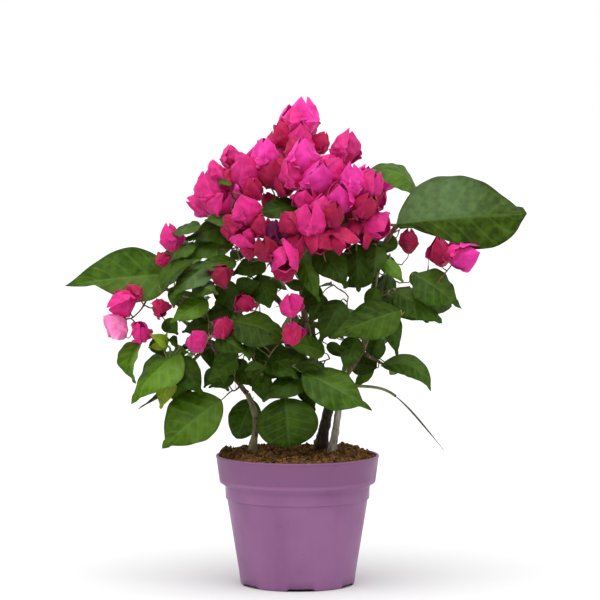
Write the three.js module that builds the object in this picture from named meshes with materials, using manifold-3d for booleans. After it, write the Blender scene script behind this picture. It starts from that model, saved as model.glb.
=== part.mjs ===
// A bougainvillea bush in a nursery pot: the pot and its soil, the woody stems and boughs,
// and the masses of leaves and of coloured bracts that make up the crown.
// Millimetres, +Z up. The origin is the middle of the pot's flat underside, the front faces -Y.
import * as THREE from "three";
import { mergeVertices } from "three/addons/utils/BufferGeometryUtils.js";
import Module from "manifold-3d";

const manifold = await Module();
manifold.setup();

// ---------- driving dimensions ----------

const GAP = 0.3;

const POT_HEIGHT = 103;
const RIM_RADIUS = 65;
const RIM_FOOT_RADIUS = 62.6;
const RIM_BAND = 21.5;
const COLLAR_RADIUS = 57.2;
const COLLAR_HEIGHT = 9.5;
const FOOT_RADIUS = 45.2;
const FOOT_ROUNDING = 2;
const POT_WALL = 1.5;
const POT_FLOOR = 3;
const POT_SIDES = 32;
const NOTCHES = 6;
const NOTCH_WIDTH = 21;
const NOTCH_HEIGHT = 2.1;
const NOTCH_TURN = 0.06;

// The soil is heaped a little: level round the stems, lower where it meets the pot.
const SOIL_LEVEL = 106;
const SOIL_PLATEAU = 42;
const SOIL_EDGE_DROP = 5.6;

const LIMB_SIDES = 8;
const LIMB_STEP = 17;
const ROOT_FLARE_HEIGHT = 7;
const STALK_SHARE = 0.3;

// The boughs run up through a thin space that the leaves in front and behind leave free.
const MIDDLE_HALF = 4.4;
const LOWEST_LEAF = SOIL_LEVEL + 2.5;
const LARGE_HALF = 25;
const UNEVEN = 0.16;

// ---------- finishes ----------

const finishes = {
  pot: { color: 0x92649a, roughness: 0.45 },
  soil: { color: 0x38241a, roughness: 1 },
  bark: { color: 0x6f5a44, roughness: 0.9 },
  leaf: { color: 0x2f5a1c, roughness: 0.5 },
  young_leaf: { color: 0x5f8a28, roughness: 0.5 },
  bract: { color: 0xd8248a, roughness: 0.7 },
};

function finish(name) {
  return new THREE.MeshStandardMaterial({ ...finishes[name], metalness: 0 });
}

// ---------- solids and cuts ----------

function closed(geometry) {
  const bare = geometry.clone();
  bare.deleteAttribute("normal");
  bare.deleteAttribute("uv");
  return mergeVertices(bare, 1e-4);
}

function toSolid(geometry) {
  const shape = closed(geometry);
  return new manifold.Manifold(new manifold.Mesh({
    numProp: 3,
    vertProperties: new Float32Array(shape.getAttribute("position").array),
    triVerts: new Uint32Array(shape.getIndex().array),
  }));
}

function toGeometry(solid) {
  const { vertProperties, triVerts } = solid.getMesh();
  const geometry = new THREE.BufferGeometry();
  geometry.setAttribute("position", new THREE.BufferAttribute(vertProperties, 3));
  geometry.setIndex(new THREE.BufferAttribute(triVerts, 1));
  geometry.computeVertexNormals();
  return geometry;
}

function named(name, geometry, finishName) {
  const mesh = new THREE.Mesh(geometry, finish(finishName));
  mesh.name = name;
  return mesh;
}

// ---------- the pot ----------

const bandFoot = POT_HEIGHT - RIM_BAND;
const collarTop = bandFoot - 3.2;
const collarFoot = collarTop - COLLAR_HEIGHT;
const wallTopRadius = COLLAR_RADIUS - 1.1;

function lathe(profile, sides) {
  const outline = profile.map(([radius, height]) => new THREE.Vector2(radius, height));
  const turned = new THREE.LatheGeometry(outline, sides);
  return turned.rotateX(Math.PI / 2);
}

function footCorner() {
  const corner = [];
  for (let step = 0; step <= 3; step += 1) {
    const angle = (step / 3) * (Math.PI / 2);
    corner.push([
      FOOT_RADIUS - FOOT_ROUNDING + FOOT_ROUNDING * Math.sin(angle),
      FOOT_ROUNDING - FOOT_ROUNDING * Math.cos(angle),
    ]);
  }
  return corner;
}

function potShell() {
  return lathe([
    [0, 0],
    ...footCorner(),
    [wallTopRadius, collarFoot],
    [COLLAR_RADIUS - 0.5, collarFoot + 0.4],
    [COLLAR_RADIUS, collarTop],
    [RIM_FOOT_RADIUS - 0.7, bandFoot - 0.2],
    [RIM_FOOT_RADIUS, bandFoot + 0.8],
    [RIM_RADIUS, POT_HEIGHT - 1.1],
    [RIM_RADIUS - 0.7, POT_HEIGHT],
    [RIM_RADIUS - POT_WALL, POT_HEIGHT - 0.4],
    [RIM_FOOT_RADIUS - POT_WALL, bandFoot + 2],
    [COLLAR_RADIUS - POT_WALL, collarTop + 1.2],
    [wallTopRadius - POT_WALL, collarFoot],
    [FOOT_RADIUS - POT_WALL, POT_FLOOR],
    [0, POT_FLOOR],
  ], POT_SIDES);
}

// Shallow drain notches round the foot let water out from under the pot.
function drainNotch(index) {
  const notch = new THREE.BoxGeometry(FOOT_RADIUS * 0.4, NOTCH_WIDTH, NOTCH_HEIGHT * 2);
  notch.translate(FOOT_RADIUS, 0, 0);
  return notch.rotateZ(((index + 0.5) / NOTCHES) * Math.PI * 2 + NOTCH_TURN);
}

function pot() {
  let shell = toSolid(potShell());
  for (let index = 0; index < NOTCHES; index += 1) {
    shell = shell.subtract(toSolid(drainNotch(index)));
  }
  return named("pot", toGeometry(shell), "pot");
}

// ---------- the soil ----------

function soil() {
  const skin = GAP + 0.1;
  const inner = [
    [0, POT_FLOOR + skin],
    [FOOT_RADIUS - POT_WALL - skin, POT_FLOOR + skin],
    [wallTopRadius - POT_WALL - skin, collarFoot],
    [COLLAR_RADIUS - POT_WALL - skin, collarTop + 1.6],
    [RIM_FOOT_RADIUS - POT_WALL - skin, bandFoot + 2.6],
    [RIM_RADIUS - POT_WALL - skin - 0.4, SOIL_LEVEL - SOIL_EDGE_DROP],
    [(RIM_RADIUS + SOIL_PLATEAU) / 2, SOIL_LEVEL - SOIL_EDGE_DROP / 3],
    [SOIL_PLATEAU, SOIL_LEVEL],
    [0, SOIL_LEVEL],
  ];
  const plug = closed(lathe(inner, POT_SIDES));
  const places = plug.getAttribute("position");
  for (let i = 0; i < places.count; i += 1) {
    const [x, y, z] = [places.getX(i), places.getY(i), places.getZ(i)];
    const radius = Math.hypot(x, y);
    if (z > SOIL_LEVEL - SOIL_EDGE_DROP / 2 && radius > SOIL_PLATEAU + 1) {
      places.setZ(i, z + 1.1 * Math.sin(0.11 * x + 1) * Math.cos(0.09 * y + 2));
    }
  }
  plug.computeVertexNormals();
  return named("soil", plug, "soil");
}

// ---------- stems and boughs ----------

const STEM_FOOT = SOIL_LEVEL + GAP;

// Each limb: its route from foot to tip, its radius at both ends, how far its foot flares,
// and for the drooping leaf on its long stalk how much its blade is thicker.
const limbs = [
  { name: "trunk", route: [[19, 12, STEM_FOOT], [20, 10, 116], [22.5, 5, 130], [27, 0.2, 149]],
    foot: 4.6, tip: 3.7, flare: 3.4 },
  { name: "grey_stem", route: [[27.5, -4, STEM_FOOT], [29.5, -4, 120], [32.5, -3, 138],
    [35.5, -3, 158], [38, -9, 178], [43, -30, 203]], foot: 3, tip: 1.8, flare: 1 },
  { name: "left_stem", route: [[-36, 1, STEM_FOOT], [-33.5, 0.5, 118], [-31.5, 0, 131],
    [-34, 0, 142], [-40, 0, 151]], foot: 2.7, tip: 2.2, flare: 1 },
  { name: "right_bough", route: [[27, 0.2, 149], [38, 0, 168], [51, 0, 184], [57, 0, 205],
    [58, 0, 226], [63, 0, 248], [68, 0, 268]], foot: 3.4, tip: 2.1 },
  { name: "centre_bough", route: [[25.5, 1.5, 143], [17, 0, 166], [8, 0, 200], [3, 0, 235],
    [5, 0, 268], [3, 0, 300], [2, 0, 330], [1, 0, 352]], foot: 3.2, tip: 1.5 },
  { name: "left_bough", route: [[-40, 0, 151], [-55, 0, 172], [-72, 0, 196], [-84, 0, 214],
    [-98, 0, 232], [-112, -5, 240]], foot: 2.2, tip: 1.3 },
  { name: "upper_left_bough", route: [[8, 0, 200], [-14, 0, 224], [-33, 0, 250], [-46, 0, 280],
    [-53, 0, 310], [-55, -2, 336]], foot: 2.5, tip: 1.3 },
  { name: "upper_right_bough", route: [[68, 0, 268], [74, 0, 282], [84, -2, 290], [100, -8, 294]],
    foot: 2, tip: 1.4 },
  { name: "low_right_bough", route: [[51, 0, 184], [60, 0, 180], [70, -3, 174], [80, -6, 170]],
    foot: 1.7, tip: 1.2 },
  { name: "right_side_bough", route: [[58, 0, 226], [70, 0, 233], [84, -3, 236], [98, -8, 236]],
    foot: 1.8, tip: 1.2 },
  { name: "drooping_leaf", route: [[36, -3.5, 158], [54, -3, 158], [72, -2, 156], [82, -2, 147],
    [98, -2, 126], [117, -2, 105.5]], foot: 1.2, tip: 0.8, blade: 1.9, finish: "leaf" },
];

function limbCurve(route) {
  return new THREE.CatmullRomCurve3(route.map((point) => new THREE.Vector3(...point)));
}

// A tapering tube with flat ends, grown by extra all round and a little beyond its ends.
function limbGeometry({ route, foot, tip, flare = 0, blade = 0 }, extra = 0) {
  const curve = limbCurve(route);
  const steps = Math.max(3, Math.round(curve.getLength() / LIMB_STEP));
  const frames = curve.computeFrenetFrames(steps);
  const positions = [];
  const faces = [];
  for (let ring = 0; ring <= steps; ring += 1) {
    const along = ring / steps;
    const centre = curve.getPointAt(along);
    const onward = ring === 0 ? -extra : ring === steps ? extra : 0;
    centre.addScaledVector(frames.tangents[ring], onward);
    const risen = centre.z - route[0][2];
    const alongBlade = Math.max(0, along - STALK_SHARE) / (1 - STALK_SHARE);
    const widening = blade * Math.sin(Math.PI * alongBlade);
    for (let side = 0; side < LIMB_SIDES; side += 1) {
      const angle = (side / LIMB_SIDES) * Math.PI * 2;
      const roots = flare * (0.75 + 0.25 * Math.cos(3 * angle)) * Math.exp(-risen / ROOT_FLARE_HEIGHT);
      const radius = foot + (tip - foot) * along + widening + roots + extra;
      const point = centre.clone();
      point.addScaledVector(frames.normals[ring], radius * Math.cos(angle));
      point.addScaledVector(frames.binormals[ring], radius * Math.sin(angle));
      if (ring === 0 && route[0][2] === STEM_FOOT) {
        point.z = STEM_FOOT - extra;
      }
      positions.push(point.x, point.y, point.z);
    }
  }
  for (let ring = 0; ring < steps; ring += 1) {
    for (let side = 0; side < LIMB_SIDES; side += 1) {
      const next = (side + 1) % LIMB_SIDES;
      const [a, b] = [ring * LIMB_SIDES + side, ring * LIMB_SIDES + next];
      const [c, d] = [a + LIMB_SIDES, b + LIMB_SIDES];
      faces.push(a, b, d, a, d, c);
    }
  }
  const last = steps * LIMB_SIDES;
  for (let side = 1; side < LIMB_SIDES - 1; side += 1) {
    faces.push(0, side + 1, side);
    faces.push(last, last + side, last + side + 1);
  }
  const geometry = new THREE.BufferGeometry();
  geometry.setAttribute("position", new THREE.Float32BufferAttribute(positions, 3));
  geometry.setIndex(faces);
  return geometry;
}

// ---------- the masses of the crown ----------

const CENTRED = MIDDLE_HALF + 2;

// Each mass: its centre, its half sizes across (X), deep (Y) and high (Z), its turns in degrees
// about Y (roll) and about Z (yaw), for a single large leaf the side its tip points to (point),
// and how far its top narrows (peak).
const masses = [
  // Leaves in front and at the sides.
  { name: "far_left_leaf", at: [-138, -12, 246], half: [46, 6, 22], roll: 7, yaw: 8, point: -1 },
  { name: "left_crescent_leaf", at: [-129, -22, 178], half: [9, 7, 18], roll: 14 },
  { name: "left_lower_leaves", at: [-100, -27, 171], half: [36, 18, 27], roll: 28, young: true },
  { name: "lower_left_leaf", at: [-81, -35, 132], half: [29, 9, 20], roll: 38, point: -1,
    young: true },
  { name: "left_upper_leaves", at: [-71, -30, 276], half: [29, 22, 19], roll: 5 },
  { name: "left_blue_leaves", at: [-77, -42, 234], half: [24, 22, 31] },
  { name: "left_inner_leaves", at: [-57, -22, 212], half: [27, 18, 25] },
  { name: "centre_left_leaves", at: [-31, -28, 245], half: [28, 24, 27] },
  { name: "long_centre_leaf", at: [-28, -60, 198], half: [26, 15, 17], roll: 10 },
  { name: "centre_leaves", at: [21, -48, 258], half: [25, 26, 22] },
  { name: "centre_right_leaves", at: [57, -32, 255], half: [22, 26, 26] },
  { name: "broad_right_leaves", at: [47, -48, 211], half: [31, 23, 22], roll: -8 },
  { name: "lower_centre_leaves", at: [-11, -36, 173], half: [38, 26, 23] },
  { name: "lower_centre_leaf", at: [31, -60, 166], half: [33, 12, 18], roll: -38, point: 1,
    young: true },
  { name: "round_front_leaf", at: [-8, -50, 132], half: [24, 9, 21] },
  { name: "small_front_leaf", at: [-44, 8, 131], half: [14, 9, 18], roll: 12 },
  { name: "upper_right_leaf", at: [75, 6, 319], half: [26, 14, 15], roll: -18 },
  { name: "great_right_leaf", at: [127, -22, 295], half: [51, 12, 30], roll: -2, point: 1 },
  { name: "right_side_leaves", at: [102, -14, 234], half: [31, 17, 22], roll: -32 },
  { name: "right_hanging_leaf", at: [68, -11, 204], half: [15.5, 13, 25], roll: 12 },
  { name: "right_lower_leaf", at: [87, -8, 168], half: [24, 10, 14], roll: -16 },
  // Bracts in front and at the sides.
  { name: "top_bracts", at: [1, 0, 361], half: [25, 22, 26], peak: 0.5, bract: true },
  { name: "crown_bracts", at: [3, -30, 325], half: [29, 28, 30], bract: true },
  { name: "top_right_bract", at: [37, -12, 343.5], half: [14, 13, 19], roll: 6, peak: 0.4,
    bract: true },
  { name: "upper_left_bracts", at: [-27, -20, 328], half: [23, 23, 26], peak: 0.3, bract: true },
  { name: "bud_bracts", at: [-54, -6, 337], half: [11, 10, 12], peak: 0.3, bract: true },
  { name: "left_bracts", at: [-67, -26, 312], half: [18, 19, 22], bract: true },
  { name: "right_bracts", at: [46, -36, 306], half: [24, 26, 32], bract: true },
  { name: "centre_bracts", at: [14, -66, 286], half: [26, 19, 25], bract: true },
  { name: "low_centre_bracts", at: [-15, -64, 267], half: [21, 17, 18], bract: true },
  { name: "centre_left_bracts", at: [-40, -48, 289], half: [17, 19, 23], bract: true },
  { name: "far_left_bracts", at: [-98, -22, 269], half: [15, 15, 17], bract: true },
  { name: "left_tip_bracts", at: [-130, -26, 216], half: [27, 14, 21], roll: 24, bract: true },
  { name: "low_left_bracts", at: [-67, -60, 203], half: [24, 14, 15], roll: 14, bract: true },
  { name: "hanging_bracts", at: [-6, -76, 213], half: [11, 12, 25], bract: true },
  { name: "ring_bract", at: [88, -16, 272], half: [10, 9, 12], bract: true },
  { name: "right_side_bracts", at: [121, -22, 258], half: [24, 13, 15], roll: 14, bract: true },
  // Behind.
  { name: "back_top_leaves", at: [-6, 34, 292], half: [40, 32, 24] },
  { name: "back_left_leaves", at: [-72, 38, 246], half: [36, 32, 31] },
  { name: "back_centre_leaves", at: [-14, 50, 242], half: [38, 40, 34] },
  { name: "back_right_leaves", at: [68, 40, 244], half: [34, 33, 34] },
  { name: "back_low_left_leaves", at: [-58, 34, 188], half: [38, 28, 28] },
  { name: "back_low_centre_leaves", at: [2, 46, 182], half: [32, 35, 28] },
  { name: "back_low_right_leaves", at: [58, 36, 186], half: [31, 28, 28] },
  { name: "back_crown_bracts", at: [-8, 32, 334], half: [33, 29, 26], bract: true },
  { name: "back_left_bracts", at: [-60, 34, 300], half: [27, 26, 25], bract: true },
  { name: "back_right_bracts", at: [48, 36, 304], half: [28, 30, 29], bract: true },
];

function turnOf({ roll = 0, yaw = 0 }) {
  const turn = new THREE.Euler(0, -THREE.MathUtils.degToRad(roll), THREE.MathUtils.degToRad(yaw), "ZYX");
  return new THREE.Matrix4().makeRotationFromEuler(turn);
}

// A smooth unevenness over the unit ball, a different one for each seed.
function lumps(spoke, seed) {
  const slow = Math.sin(3.3 * spoke.x + 2.4 * seed) * Math.cos(2.9 * spoke.z - 1.7 * seed);
  const quick = Math.sin(6.3 * spoke.z + 3.3 * seed) * Math.sin(7.1 * spoke.x - 0.9 * seed + spoke.y);
  return UNEVEN * (0.45 * slow + 0.55 * quick);
}

// How far a leaf's pointed outline leaves the oval: in at the shoulders, out at the tip.
function leafOutline(spoke, point) {
  const shoulders = 1 - 0.16 * Math.abs(2 * spoke.x * spoke.z);
  return shoulders + 0.1 * Math.max(0, spoke.x * point) ** 8;
}

// How far a mass reaches along a direction.
function reachAlong(mass, direction) {
  const local = direction.clone().applyMatrix4(mass.turn.clone().transpose());
  return Math.hypot(...["x", "y", "z"].map((axis, i) => local[axis] * mass.half[i])) * (1 + UNEVEN);
}

function spreadMatrix(mass) {
  const size = new THREE.Matrix4().makeScale(...mass.half.map((half) => half * half));
  return mass.turn.clone().multiply(size).multiply(mass.turn.clone().transpose());
}

// The flat where a mass presses on a neighbour: its outward direction and the room up to it.
function sharedFlat(mass, other) {
  const across = other.centre.clone().sub(mass.centre);
  const both = new THREE.Matrix4();
  both.elements = spreadMatrix(mass).elements.map((value, i) => value + spreadMatrix(other).elements[i]);
  const direction = across.clone().applyMatrix4(both.invert()).normalize();
  const apart = direction.dot(across);
  const [own, others] = [reachAlong(mass, direction), reachAlong(other, direction)];
  if (own + others + GAP <= apart) {
    return null;
  }
  return { direction, room: (apart * own) / (own + others) - GAP / 2 };
}

function flatsAround(mass) {
  const flats = [];
  for (const other of masses) {
    const flat = other === mass ? null : sharedFlat(mass, other);
    if (flat) {
      flats.push(flat);
    }
  }
  const towardsMiddle = -Math.sign(mass.centre.y);
  const middleRoom = Math.abs(mass.centre.y) - MIDDLE_HALF;
  if (middleRoom > CENTRED) {
    flats.push({ direction: new THREE.Vector3(0, towardsMiddle, 0), room: middleRoom });
  }
  flats.push({ direction: new THREE.Vector3(0, 0, -1), room: mass.centre.z - LOWEST_LEAF });
  return flats;
}

// An uneven ball about the mass's centre, cut off at its flats, and grown by extra.
function massGeometry(mass, extra = 0) {
  const ball = closed(new THREE.IcosahedronGeometry(1, Math.max(...mass.half) > LARGE_HALF ? 2 : 1));
  const places = ball.getAttribute("position");
  const spoke = new THREE.Vector3();
  for (let i = 0; i < places.count; i += 1) {
    spoke.fromBufferAttribute(places, i);
    const swell = 1 + lumps(spoke, mass.seed);
    const outline = mass.point ? leafOutline(spoke, mass.point) : 1;
    const narrowing = 1 - (mass.peak ?? 0) * Math.max(0, spoke.z) ** 2;
    spoke.multiplyScalar(swell * outline);
    spoke.multiply(new THREE.Vector3(narrowing, narrowing, 1));
    spoke.multiply(new THREE.Vector3(...mass.half).addScalar(extra));
    spoke.applyMatrix4(mass.turn);
    let share = 1;
    for (const { direction, room } of mass.flats) {
      const run = direction.dot(spoke);
      if (run > room + extra) {
        share = Math.min(share, (room + extra) / run);
      }
    }
    spoke.multiplyScalar(share);
    places.setXYZ(i, spoke.x, spoke.y, spoke.z);
  }
  ball.computeVertexNormals();
  return ball;
}

// ---------- putting it together ----------

masses.forEach((mass, index) => {
  mass.centre = new THREE.Vector3(...mass.at);
  mass.turn = turnOf(mass);
  mass.seed = index + 1;
});
masses.forEach((mass) => {
  mass.flats = flatsAround(mass);
});

// A bough starts at the skin of the limb that bears it, and ends where it enters a mass.
function limbMesh(limb, index) {
  let wood = toSolid(limbGeometry(limb));
  for (const earlier of limbs.slice(0, index)) {
    wood = wood.subtract(toSolid(limbGeometry(earlier, GAP)));
  }
  for (const mass of masses) {
    const space = massGeometry(mass, GAP + 0.2).translate(...mass.at);
    wood = wood.subtract(toSolid(space));
  }
  return named(limb.name, toGeometry(wood), limb.finish ?? "bark");
}

function massMesh(mass) {
  const finishName = mass.bract ? "bract" : mass.young ? "young_leaf" : "leaf";
  const mesh = named(mass.name, massGeometry(mass), finishName);
  mesh.position.copy(mass.centre);
  return mesh;
}

const bush = new THREE.Group();
bush.add(pot(), soil(), ...limbs.map(limbMesh), ...masses.map(massMesh));

export default bush;
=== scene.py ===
"""A potted bougainvillea: pot, soil, stems, boughs, twigs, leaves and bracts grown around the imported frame.

Lengths are in millimetres. make_piece turns them into metres.
"""

import math

import bpy
import numpy as np
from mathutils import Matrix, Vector, noise
from mathutils.bvhtree import BVHTree


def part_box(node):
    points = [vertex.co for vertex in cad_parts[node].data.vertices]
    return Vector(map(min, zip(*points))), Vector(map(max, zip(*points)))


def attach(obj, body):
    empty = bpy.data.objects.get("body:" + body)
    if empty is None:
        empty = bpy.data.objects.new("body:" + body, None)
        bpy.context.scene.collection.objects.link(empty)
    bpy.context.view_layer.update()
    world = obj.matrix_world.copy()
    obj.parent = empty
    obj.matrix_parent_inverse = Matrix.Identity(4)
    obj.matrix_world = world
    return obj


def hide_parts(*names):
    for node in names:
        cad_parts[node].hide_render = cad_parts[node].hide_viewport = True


MM = 0.001
BODY = "root"
UV_NAME = "OFBake"
CELLS = 12  # leaves along each side of a piece's UV map
CELL_LOW, CELL_HIGH = 0.04, 0.92  # where a blade starts along its cell, and how much of the cell it takes
CELL_HALF = 0.22  # half the width of a blade in its cell
UPPER_MIDDLE, UNDER_MIDDLE = 0.25, 0.75  # the upper side has the left half of a cell, the underside the right
LEAF_ENDS, BRACT_ENDS = ("_leaf", "_leaves"), ("_bract", "_bracts")  # how the names of the masses end
UP = np.array((0.0, 0.0, 1.0))
FRONT = np.array((0.0, -1.0, 0.0))
TURN = 2 * math.pi
TINY = 1e-9

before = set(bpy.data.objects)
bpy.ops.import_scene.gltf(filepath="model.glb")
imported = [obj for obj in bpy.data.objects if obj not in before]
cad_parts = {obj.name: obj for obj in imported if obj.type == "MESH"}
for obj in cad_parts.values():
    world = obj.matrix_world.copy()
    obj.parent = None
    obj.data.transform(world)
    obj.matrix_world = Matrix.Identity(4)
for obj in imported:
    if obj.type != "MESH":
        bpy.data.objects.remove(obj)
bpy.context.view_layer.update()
rng = np.random.default_rng(2611)


# ---------------------------------------------------------------- small helpers


def unit(v):
    v = np.asarray(v, float)
    return v / max(np.linalg.norm(v), TINY)


def units(rows):
    """Each row brought to length 1."""
    return rows / np.maximum(np.linalg.norm(rows, axis=1), TINY)[:, None]


def headings(line):
    """The way a line runs at each of its points."""
    return units(np.gradient(line, axis=0))


def gaps(points, point):
    """How far each of these points lies from a point."""
    return np.linalg.norm(np.asarray(points) - point, axis=1)


def aside(axis):
    """A way at right angles to an axis."""
    return np.cross(axis, UP if abs(axis[2]) < 0.9 else FRONT)


def angles(count):
    return np.arange(count) / count * TURN


SPANS = {}


def span(name):
    """Lowest and highest corner of a node."""
    if name not in SPANS:
        low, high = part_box(name)
        SPANS[name] = (np.array(low) / MM, np.array(high) / MM)
    return SPANS[name]


def at(name, *shares):
    """A point in a node's box: 0 is the middle of a side, -1 and 1 its ends."""
    low, high = span(name)
    return (low + high) / 2 + (high - low) / 2 * np.array(shares)


def colour(red, green, blue):
    """Linear RGBA of a colour given as it looks on a screen, 0 to 255."""
    parts = [c / 255 for c in (red, green, blue)]
    return [c / 12.92 if c <= 0.04045 else ((c + 0.055) / 1.055) ** 2.4 for c in parts] + [1.0]


def toned(rgba, times, plus=0.0):
    return [min(1, c * times + plus) for c in rgba[:3]] + [1]


def lumpy(x, y, z):
    return noise.noise(Vector((x, y, z)))


def jitter(amount):
    return rng.normal(0, amount, 3)


def deal(tints):
    """One of the tints named in a string."""
    tints = tints.split()
    return tints[rng.integers(len(tints))]


def curve_points(p0, p1, p2, p3, count):
    """Points along a cubic Bezier curve."""
    s = np.linspace(0, 1, count)[:, None]
    return p0 * (1 - s) ** 3 + 3 * p1 * s * (1 - s) ** 2 + 3 * p2 * s * s * (1 - s) + p3 * s**3


def smooth_line(points, step):
    """A line resampled every step or so, smoothed by a Catmull-Rom spline."""
    padded = np.vstack((2 * points[0] - points[1], points, 2 * points[-1] - points[-2]))
    out = []
    for a, b, c, d in zip(padded[:-3], padded[1:-2], padded[2:-1], padded[3:]):
        count = max(1, int(round(np.linalg.norm(c - b) / step)))
        s = (np.arange(count) / count)[:, None]
        out.append(0.5 * (2 * b + (c - a) * s + (2 * a - 5 * b + 4 * c - d) * s**2
                          + (3 * b - a - 3 * c + d) * s**3))
    return np.vstack(out + [points[-1:]])


def add_object(name, data, spot=None, way=None):
    """Links an object to the scene; a camera or a light is given a spot and the way it looks."""
    ob = bpy.data.objects.new(name, data)
    if way is not None:
        ob.location = spot
        ob.rotation_euler = Vector(way).to_track_quat("-Z", "Y").to_euler()
    bpy.context.scene.collection.objects.link(ob)
    return ob


# ---------------------------------------------------------------- meshes


class Heap:
    """Collects the vertices and faces of one piece."""

    def __init__(self):
        self.verts, self.faces, self.slots, self.uvs, self.rims = [], [], [], [], []
        self.count, self.cells, self.masses = 0, 0, set()

    def add(self, verts, faces, slots=None, uvs=(), rim=None):
        self.faces += [[i + self.count for i in f] for f in faces]
        self.verts.append(verts)
        self.slots += slots or [0] * len(faces)
        self.uvs += uvs
        self.rims.append(np.zeros(len(verts), bool) if rim is None else rim)
        self.count += len(verts)


def heap_with_room(heaps, blades=1):
    """The last heap of a list, or a new one where its map has no room for this many blades."""
    if not heaps or heaps[-1].cells + blades > CELLS * CELLS:
        heaps.append(Heap())
    return heaps[-1]


def make_piece(name, heap, materials, slot, nodes=(), smooth=True):
    """Turns a heap into an object that rides on the body."""
    me = bpy.data.meshes.new(name)
    me.from_pydata((np.vstack(heap.verts) * MM).tolist(), [], heap.faces)
    for m in materials:
        me.materials.append(m)
    me.polygons.foreach_set("material_index", heap.slots)
    me.polygons.foreach_set("use_smooth", [smooth] * len(heap.faces))
    if heap.uvs:
        layer = me.uv_layers.new(name=UV_NAME)
        layer.uv.foreach_set("vector", np.array(heap.uvs, np.float32).ravel())
    rims = np.concatenate(heap.rims)
    if rims.any():
        ends = np.zeros(len(me.edges) * 2, np.int32)
        me.edges.foreach_get("vertices", ends)
        me.edges.foreach_set("use_edge_sharp", rims[ends.reshape(-1, 2)].all(1))
    me.update()
    ob = add_object(name, me)
    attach(ob, BODY)
    if nodes:
        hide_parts(*sorted(nodes))


def ring_faces(rings, sides, flip=False):
    """Faces of a closed skin over rings of vertices, which are followed by the pole at each end."""
    faces, last, pole = [], (rings - 1) * sides, rings * sides
    for j in range(sides):
        k = (j + 1) % sides
        faces += [(pole, k, j), (pole + 1, last + j, last + k)]
        faces += [(i + j, i + k, i + sides + k, i + sides + j) for i in range(0, last, sides)]
    return [(f[0], *f[:0:-1]) for f in faces] if flip else faces


def carried_frames(points):
    """Two cross directions at each point of a line, carried along it without twist."""
    tangents = headings(points)
    first = aside(tangents[0])
    ones = []
    for t in tangents:
        first = unit(first - t * (first @ t))
        ones.append(first)
    ones = np.array(ones)
    return ones, np.cross(tangents, ones)


def tube(heap, points, radii, sides=6, relief=None):
    """A closed tube along a line; relief is the share its radius changes by at an angle and a length."""
    ones, twos = carried_frames(points)
    round_it = angles(sides)
    rings = np.repeat(np.broadcast_to(np.asarray(radii, float), (len(points),))[:, None], sides, axis=1)
    if relief:
        along = np.concatenate(([0], np.cumsum(np.linalg.norm(np.diff(points, axis=0), axis=1))))
        rings = rings * np.array([[1 + relief(a, d) for a in round_it] for d in along])
    shape = ones[:, None] * np.cos(round_it)[:, None] + twos[:, None] * np.sin(round_it)[:, None]
    verts = (points[:, None] + shape * rings[:, :, None]).reshape(-1, 3)
    heap.add(np.vstack((verts, points[:1], points[-1:])), ring_faces(len(points), sides))


DRIP = 0.17  # half width of a drip tip, against the widest place of its blade
RIB_STEPS = 6.5  # side veins along a leaf


def outline(s, rise, fall, tail):
    """Half width of a blade from its base at 0 to its tip at 1, largest 1, with a drip tip over the tail."""
    inner = np.clip(s / (1 - tail), 0, 1)
    top = rise / (rise + fall)
    main = inner**rise * (1 - inner) ** fall / (top**rise * (1 - top) ** fall)
    if not tail:
        return main
    drip = DRIP * (np.clip(1 - s, 0, 1) / tail) ** 0.8 * np.clip(s * 3, 0, 1)
    return np.maximum(main, np.minimum(drip, DRIP))


class ThinSkin:
    """A closed thin skin between an upper and an under grid, with rows from its base to its tip."""

    def __init__(self, grid, under):
        self.grid, self.under = grid, under
        self.rows, self.columns = grid.shape[0] - 1, grid.shape[1] - 1
        self.centre = grid[self.rows // 2, self.columns // 2]

    def into(self, heap):
        """Adds the skin to a heap: upper side in slot 0, underside in slot 1."""
        rows, columns = self.rows, self.columns
        cell = np.array((heap.cells % CELLS, heap.cells // CELLS))
        heap.cells += 1
        inner, lower = (g.reshape(-1, 3) for g in (self.grid[1:-1], self.under[1:-1, 1:-1]))
        verts = np.vstack((inner, self.grid[:1, 0], self.grid[-1:, 0], lower))
        start, end = len(inner), len(inner) + 1

        def top(i, j):
            return start if i == 0 else end if i == rows else (i - 1) * (columns + 1) + j

        def low(i, j):
            if i in (0, rows) or j in (0, columns):
                return top(i, j)
            return end + 1 + (i - 1) * (columns - 1) + j - 1

        faces, uvs, slots = [], [], []
        for slot, (pick, middle) in enumerate(((top, UPPER_MIDDLE), (low, UNDER_MIDDLE))):
            for i, j in np.ndindex(rows, columns):
                ring = [(i, j), (i, j + 1), (i + 1, j + 1), (i + 1, j)]
                if i == 0:
                    ring = [(0, j + 0.5), *ring[2:]]
                elif i == rows - 1:
                    ring = [*ring[:2], (rows, j + 0.5)]
                for k in range(1, len(ring) - 1):
                    corner = (ring[0], ring[k], ring[k + 1])[:: -1 if slot else 1]
                    faces.append([pick(a, int(b)) for a, b in corner])
                    slots.append(slot)
                    for a, b in corner:
                        u, v = middle + CELL_HALF * (2 * b / columns - 1), CELL_LOW + CELL_HIGH * a / rows
                        uvs.append(((cell[0] + u) / CELLS, (cell[1] + v) / CELLS))
        rim = np.zeros(len(verts), bool)
        rim[[top(i, j) for i in range(rows + 1) for j in (0, columns)]] = True
        heap.add(verts, faces, slots, uvs, rim)


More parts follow.
